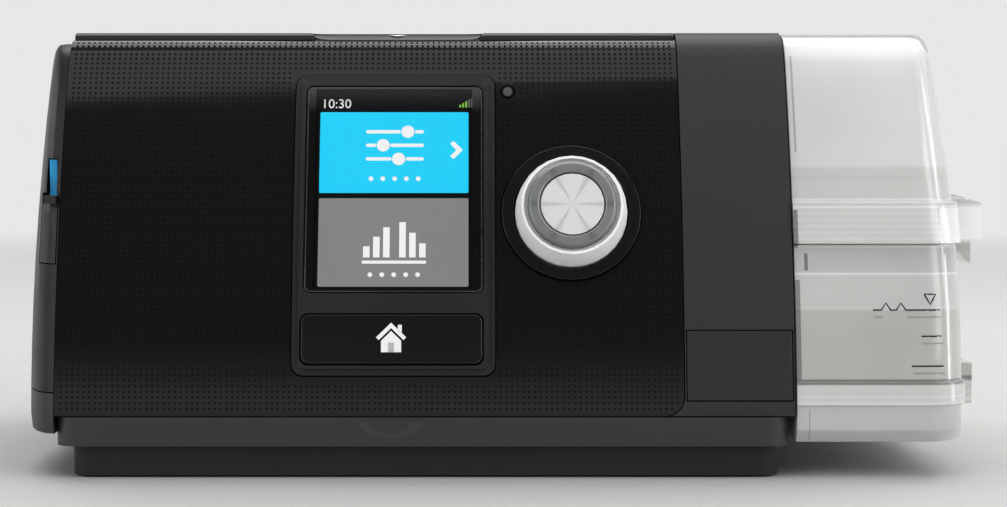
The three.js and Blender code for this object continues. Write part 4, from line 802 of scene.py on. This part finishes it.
dots = {
    "pitch": 1.47, "radius": 0.35, "taper": 0.55, "height": 0.05, "liftShare": 0.4, "sides": 8,
    "left": -114.3, "right": 45, "low": 18.2, "high": 113.9, "finish": matt("dotPrint", "151515"),
    "display": {"left": -56.3, "right": -1.2, "low": -42.5, "high": 41.8},
    "rounds": [(dial["x"], dial["v"], 19.4), (1, 35.7, 3)],
    "corner": {"x": 41.1, "z": 21.3, "radius": 4, "left": 40.5, "high": 21.8},
    "button": {"left": -53.5, "right": -3.7, "low": 113.45},
}


def outerY(z):
    # The face, and above it the round that turns over to the top
    rise = max(0, z - front["edgeZ"])
    return faceY(z) + front["edgeRadius"] - sqrt(front["edgeRadius"] ** 2 - rise * rise)


def outerNormal(z, step=0.01):
    slope = (outerY(z + step) - outerY(z - step)) / (2 * step)
    return Vector((0, -1, slope)).normalized()


def blockedForDots(x, z):
    v = front["radius"] * (faceLean(z) - faceLean(front["panelZ"]))
    box, corner, button = dots["display"], dots["corner"], dots["button"]
    if box["left"] < x < box["right"] and box["low"] < v < box["high"]:
        return True
    if any(hypot(x - middle, v - height) < reach for middle, height, reach in dots["rounds"]):
        return True
    if x > corner["left"] and z < corner["high"]:
        return hypot(x - corner["x"], z - corner["z"]) > corner["radius"]
    return button["left"] < x < button["right"] and z > button["low"]


def makeDots():
    points, facings = [], []
    columns = int((dots["right"] - dots["left"]) / dots["pitch"])
    z = dots["low"]
    while z < dots["high"]:
        out = outerNormal(z)
        for column in range(columns + 1):
            x = dots["left"] + column * dots["pitch"]
            if not blockedForDots(x, z):
                points.append((Vector((x, outerY(z), z)) + out * dots["height"] * dots["liftShare"]) * mm)
                facings.append(out)
        z += dots["pitch"] * -out.y
    grown("front_dots", pointCloud("dotPlaces", points, facings), studs,
          {"Radius": dots["radius"] * mm, "Taper": dots["taper"], "Height": dots["height"] * mm,
           "Sides": dots["sides"]}, "machine_base", "fascia", dots["finish"])
    print("front dots:", len(points))


makeDots()


# What the display shows: two plain tiles, a clock, signal bars and page dots

screen = {
    "low": -2.24, "high": -2.12, "top": -2.02, "tileCorner": 0.3,
    "tiles": [("tile_upper", (-48.6, -9.4, -1.0, 21.5), "cyan"),
              ("tile_lower", (-48.6, -9.4, -26.6, -2.5), "grey")],
    "cyan": glowing("tileCyan", "08d2ff", 1.1), "grey": glowing("tileGrey", "8a8987", 1.0),
    "white": glowing("screenWhite", "fbfbfb", 1.05), "green": glowing("signalGreen", "8fd14a", 1.0),
    "dim": glowing("signalGrey", "6d6d6d", 1.0),
}
icons = {
    "middle": -28.8, "sliders": [(16.0, 3.4), (12.2, -3.1), (8.4, 1.0)], "reach": 7.6, "halfLine": 0.45,
    "knob": 1.35, "knobGap": 1.9, "knobLine": 0.75,
    "arrow": [[(-14.2, 12.6), (-13.3, 13.4), (-10.9, 10.9), (-11.8, 10.0)],
              [(-14.2, 9.2), (-11.8, 11.6), (-10.9, 10.9), (-13.3, 8.4)]],
    "upperDots": 2.9, "lowerDots": -23.4, "pageDot": 0.62, "pagePitch": 3.1,
    "chartBase": (-8.4, 8.4, -20.4, -19.6), "chartFoot": -18.7,
    "chart": [("chart_rise", -7.2, 3.0, 2.6, 3), ("chart_fall", 2.2, 9.6, -2.9, 3)],
    "chartBar": {"Pitch": 2.6, "Width": 1.7, "Thickness": 0.1},
    "signal": [("signal_on", "green", 3, -11.6, 0.7), ("signal_off", "dim", 2, -9.2, 2.2)],
    "signalBar": {"Pitch": 0.8, "Width": 0.5, "Thickness": 0.1, "Step": 0.5},
    "signalFoot": 22.9, "signalLift": 0.1,
    "clock": {"words": "10:30", "size": 3.6, "thick": 0.04, "left": -48.4, "foot": 22.7, "lift": 0.1},
}


def screenMark(name, outlines, tone):
    return mark(name, outlines, screenFrame, screen["high"], screen["top"],
                "machine_base", "display", screen[tone])


def pageDots(name, v):
    spots = [(icons["middle"] + s * icons["pagePitch"], v) for s in (-2, -1, 0, 1, 2)]
    return screenMark(name, [circle(*spot, icons["pageDot"], 14) for spot in spots], "white")


def screenBars(name, left, foot, lift, tone, values):
    place = screenFrame @ Matrix.Translation((left, foot, lift))
    return grown(name, bpy.data.meshes.new(name), bars, values,
                 "machine_base", "display", screen[tone], place)


def bar(left, right, low, high, radius=0.35):
    return roundRect(left, right, low, high, radius, 3)


def hoop(outer, inner, low, high):
    # A flat ring between two outlines with as many points
    build = bmesh.new()
    rings = [[build.verts.new((x, v, w)) for x, v in outline]
             for outline, w in ((outer, low), (outer, high), (inner, high), (inner, low))]
    joinRings(build, rings, hollow=True)
    return build


def reachIn(place, node):
    # A node's limits in a frame on the face, in mm
    back = place.inverted()
    spots = [back @ vertex.co for vertex in frame["nodes"][node].data.vertices]
    return [(min(spot[axis] for spot in spots), max(spot[axis] for spot in spots)) for axis in range(3)]


lensRim = {"inset": 0.1, "width": 0.3, "sunk": 0.1, "lift": 0.04, "outerCorner": 1.6, "innerCorner": 1.4}


def makeLensRim():
    (left, right), (low, high), (_, top) = reachIn(screenFrame, "screen_lens")
    inset = lensRim["inset"]
    outer = roundRect(left + inset, right - inset, low + inset, high - inset, lensRim["outerCorner"])
    inset += lensRim["width"]
    inner = roundRect(left + inset, right - inset, low + inset, high - inset, lensRim["innerCorner"])
    rim = hoop(outer, inner, top - lensRim["sunk"], top + lensRim["lift"])
    mesh = meshFrom(rim, "lens_rim", screenFrame)
    addPiece("lens_rim", mesh, "machine_base", "lens", metal("rimSheen", "77787a", 0.3))


def makeScreen():
    for name, tile, tone in screen["tiles"]:
        mark(name, [roundRect(*tile, screen["tileCorner"], 2)], screenFrame, screen["low"], screen["high"],
             "machine_base", "display", screen[tone])
    # upper tile: three sliders and an arrow
    middle, reach, half, gap = (icons[key] for key in ("middle", "reach", "halfLine", "knobGap"))
    sliders = []
    for v, knob in icons["sliders"]:
        sliders += [bar(middle - reach, middle + knob - gap, v - half, v + half),
                    bar(middle + knob + gap, middle + reach, v - half, v + half),
                    arcBand(middle + knob, v, icons["knob"], icons["knobLine"], 0, 340)]
    screenMark("icon_sliders", sliders, "white")
    screenMark("icon_arrow", icons["arrow"], "white")
    pageDots("page_dots_upper", icons["upperDots"])
    # lower tile: a bar chart on a base line
    left, right, low, high = icons["chartBase"]
    screenMark("chart_base", [bar(middle + left, middle + right, low, high)], "white")
    lift = screen["high"] + icons["chartBar"]["Thickness"] / 2
    for name, offset, first, step, count in icons["chart"]:
        screenBars(name, middle + offset, icons["chartFoot"], lift, "white",
                   dict(icons["chartBar"], Count=count, First=first, Step=step))
    pageDots("page_dots_lower", icons["lowerDots"])
    for name, tone, count, left, first in icons["signal"]:
        screenBars(name, left, icons["signalFoot"], screen["low"] + icons["signalLift"], tone,
                   dict(icons["signalBar"], Count=count, First=first))
    clock = icons["clock"]
    words = bpy.data.curves.new("clock", "FONT")
    words.body = clock["words"]
    words.size = clock["size"]
    words.extrude = clock["thick"]
    holder = bpy.data.objects.new("clock", words)
    mesh = bpy.data.meshes.new_from_object(holder)
    bpy.data.objects.remove(holder)
    place = (clock["left"], clock["foot"], screen["low"] + clock["lift"])
    mesh.transform(screenFrame @ Matrix.Translation(place))
    addPiece("clock_digits", mesh, "machine_base", "display", screen["white"])


# Outside and inside of the lens's edge, and from and to its top, in mm
sensorRing = {"over": 0.1, "inner": 0.45, "sunk": 0.5, "lift": 0.05}


def makeSensorRing():
    (left, right), (low, high), (_, top) = reachIn(panelFrame, "light_sensor_lens")
    x, v, radius = (left + right) / 2, (low + high) / 2, (right - left) / 2
    outer, inner = circle(x, v, radius + sensorRing["over"]), circle(x, v, radius - sensorRing["inner"])
    ring = hoop(outer, inner, top - sensorRing["sunk"], top + sensorRing["lift"])
    mesh = meshFrom(ring, "sensor_ring", panelFrame)
    addPiece("sensor_ring", mesh, "machine_base", "sensor", glossBlack("sensorRim", "0a0a0b", 0.03, 0.1))


makeScreen()
makeLensRim()
makeSensorRing()


# Printed marks on the buttons

ink = {
    "white": moulded("printWhite", "fdfdfd", 0.5, 0.02, shift=0.01),
    "dark": moulded("printDark", "1b1b1c", 0.55, 0.02),
}
startNose = {"inset": 0.4, "radius": 6, "top": 115.4}
house = {
    "x": -29.3, "v": 0.3, "low": 1.47, "high": 1.53,
    "roof": [(-3.9, 0.15), (-3.2, -0.55), (0, 2.55), (3.2, -0.55), (3.9, 0.15), (0, 3.95)],
    "chimney": [(1.75, 2.0), (2.75, 1.0), (2.75, 3.4), (1.75, 3.4)],
    "walls": [(-2.6, -3.7), (-0.75, -3.7), (-0.75, -1.2), (0.75, -1.2), (0.75, -3.7), (2.6, -3.7),
              (2.6, -0.75), (0, 1.8), (-2.6, -0.75)],
}
# A ring open at the top, with a bar in the gap
standby = {
    "x": -28.6, "v": 0.3, "radius": 1.9, "line": 0.5, "from": 125, "to": 415, "low": -0.06, "high": 0.09,
    "barHalf": 0.27, "barLow": 0.6, "barHigh": 2.9, "barCorner": 0.2,
}


def noseSpot(x, v, lift):
    # A spot on the start button: v runs back over its top, and below zero down its rounded front
    turn = max(0, -v / startNose["radius"])
    z = startNose["top"] - startNose["radius"] * (1 - cos(turn))
    y = faceY(z, startNose["inset"]) + startNose["radius"] * (1 - sin(turn)) + max(0, v)
    return Vector((x, y - sin(turn) * lift, z + cos(turn) * lift)) * mm


def makeButtonMarks():
    outlines = [[(house["x"] + x, house["v"] + v) for x, v in house[part]]
                for part in ("roof", "chimney", "walls")]
    mark("home_mark", outlines, homeFrame, house["low"], house["high"], "home_button", "home", ink["white"])
    x = standby["x"]
    ring = arcBand(x, standby["v"], standby["radius"], standby["line"], standby["from"], standby["to"])
    stem = bar(x - standby["barHalf"], x + standby["barHalf"], standby["barLow"], standby["barHigh"],
               standby["barCorner"])
    build = prism([ring, stem], standby["low"], standby["high"])
    for vertex in build.verts:
        vertex.co = noseSpot(*vertex.co)
    addPiece("standby_mark", meshFrom(build, "standby_mark", Matrix.Identity(4)), "start_stop_button",
             "start_button", ink["white"])


makeButtonMarks()


# The tub: level marks and water

def hitFront(node):
    mesh = frame["nodes"][node].data
    tree = BVHTree.FromPolygons([v.co for v in mesh.vertices], [p.vertices[:] for p in mesh.polygons])

    def find(x, z):
        return tree.ray_cast(Vector((x * mm, 2 * cadBox[0][1], z * mm)), Vector((0, 1, 0)))
    return find


levels = {
    "line": [(95.2, 43.3), (97.4, 43.3), (98.6, 45.1), (99.8, 43.3), (101.3, 43.3), (102.5, 45.1),
             (103.7, 43.3), (112.6, 43.3)],
    "ticks": [[(107.6, 36.6), (112.8, 36.6)], [(104.9, 29.0), (113.2, 29.0)]],
    "pointer": [(108.6, 47.3), (110.1, 44.7), (111.6, 47.3), (108.6, 47.3)],
    "width": 0.42, "lift": 0.05, "sunk": 0.05, "step": 1.2,
    "shadowAside": 0.3, "shadowDrop": 1.95, "shadowWidth": 0.7, "shadowLift": 0.02,
    "shadow": clearFilm("markShadow", "9d9d9b", 0.4, 0.4),
}


def ribbon(build, find, path, width, lift):
    # A raised strip along a path of (x, z) on the wall it is printed on
    steps = []
    for (x0, z0), (x1, z1) in zip(path, path[1:]):
        pieces = max(1, int(hypot(x1 - x0, z1 - z0) / levels["step"]))
        steps += [(x0 + (x1 - x0) * i / pieces, z0 + (z1 - z0) * i / pieces) for i in range(pieces)]
    steps.append(path[-1])
    rows = []
    for i, (x, z) in enumerate(steps):
        before, after = steps[max(i - 1, 0)], steps[min(i + 1, len(steps) - 1)]
        run = Vector((after[0] - before[0], 0, after[1] - before[1])).normalized()
        across = Vector((-run.z, 0, run.x)) * width / 2 * mm
        spot, normal = find(x, z)[:2]
        rows.append([build.verts.new(spot + across * side + normal * depth * mm)
                     for side, depth in ((-1, -levels["sunk"]), (1, -levels["sunk"]), (1, lift), (-1, lift))])
    joinRings(build, rows)


def makeLevelMarks():
    find = hitFront("tub_container")
    build = bmesh.new()
    ribbon(build, find, levels["line"], levels["width"], levels["lift"])
    for tick in levels["ticks"]:
        ribbon(build, find, tick, levels["width"], levels["lift"])
    ribbon(build, find, levels["pointer"], levels["width"], levels["lift"])
    mesh = meshFrom(build, "level_marks", Matrix.Identity(4))
    addPiece("level_marks", mesh, "water_tub", "tub_clear", ink["dark"])
    build = bmesh.new()
    for path in [levels["line"][-2:], levels["line"][:2]] + levels["ticks"]:
        moved = [(x + levels["shadowAside"], z - levels["shadowDrop"]) for x, z in path]
        ribbon(build, find, moved, levels["shadowWidth"], levels["shadowLift"])
    mesh = meshFrom(build, "level_shadows", Matrix.Identity(4))
    addPiece("level_shadows", mesh, "water_tub", "tub_clear", levels["shadow"])


makeLevelMarks()


# Two bodies of water in mm: the outer one beside the dock, whose front is an inset from the face's
# curve, and the inner one that reaches into it. Each as left, right, front, back
water = {
    "level": 43.4, "outer": (77.6, 116.0, 2.9, 65.4), "outerCorner": 4.5,
    "heights": [12.3, 16, 22, 28, 34, 40],
    "foot": 13, "footInset": 2.2, "widest": 35, "narrowing": 0.35 / 6, "narrowingPower": 1.05,
    "inner": (14.6, 77.2, -46.5, 39.4), "innerCorner": 2, "innerFloor": 16.6,
    "smoothBelow": 35, "finish": clearFilm("waterBody", "b4b3b2", 0.5, 0.75, 0.08, 0.02),
}


def makeWater():
    build = bmesh.new()
    left, right, inset, back = water["outer"]
    rings = []
    for z in water["heights"] + [water["level"]]:
        reach = right - water["narrowing"] * abs(z - water["widest"]) ** water["narrowingPower"]
        if z < water["foot"]:
            reach -= water["footInset"]
        outline = roundRect(left, reach, faceY(z, inset), back, water["outerCorner"], 6)
        rings.append([build.verts.new((x, y, z)) for x, y in outline])
    joinRings(build, rings)
    outline = roundRect(*water["inner"], water["innerCorner"], 4)
    joinRings(build, [[build.verts.new((x, y, z)) for x, y in outline]
                      for z in (water["innerFloor"], water["level"])])
    mesh = meshFrom(build, "water", Matrix.Scale(mm, 4))
    mesh.shade_smooth()
    mesh.set_sharp_from_angle(angle=radians(water["smoothBelow"]))
    addPiece("water", mesh, "water_tub", "tub_clear", water["finish"])


makeWater()
print("small pieces made")
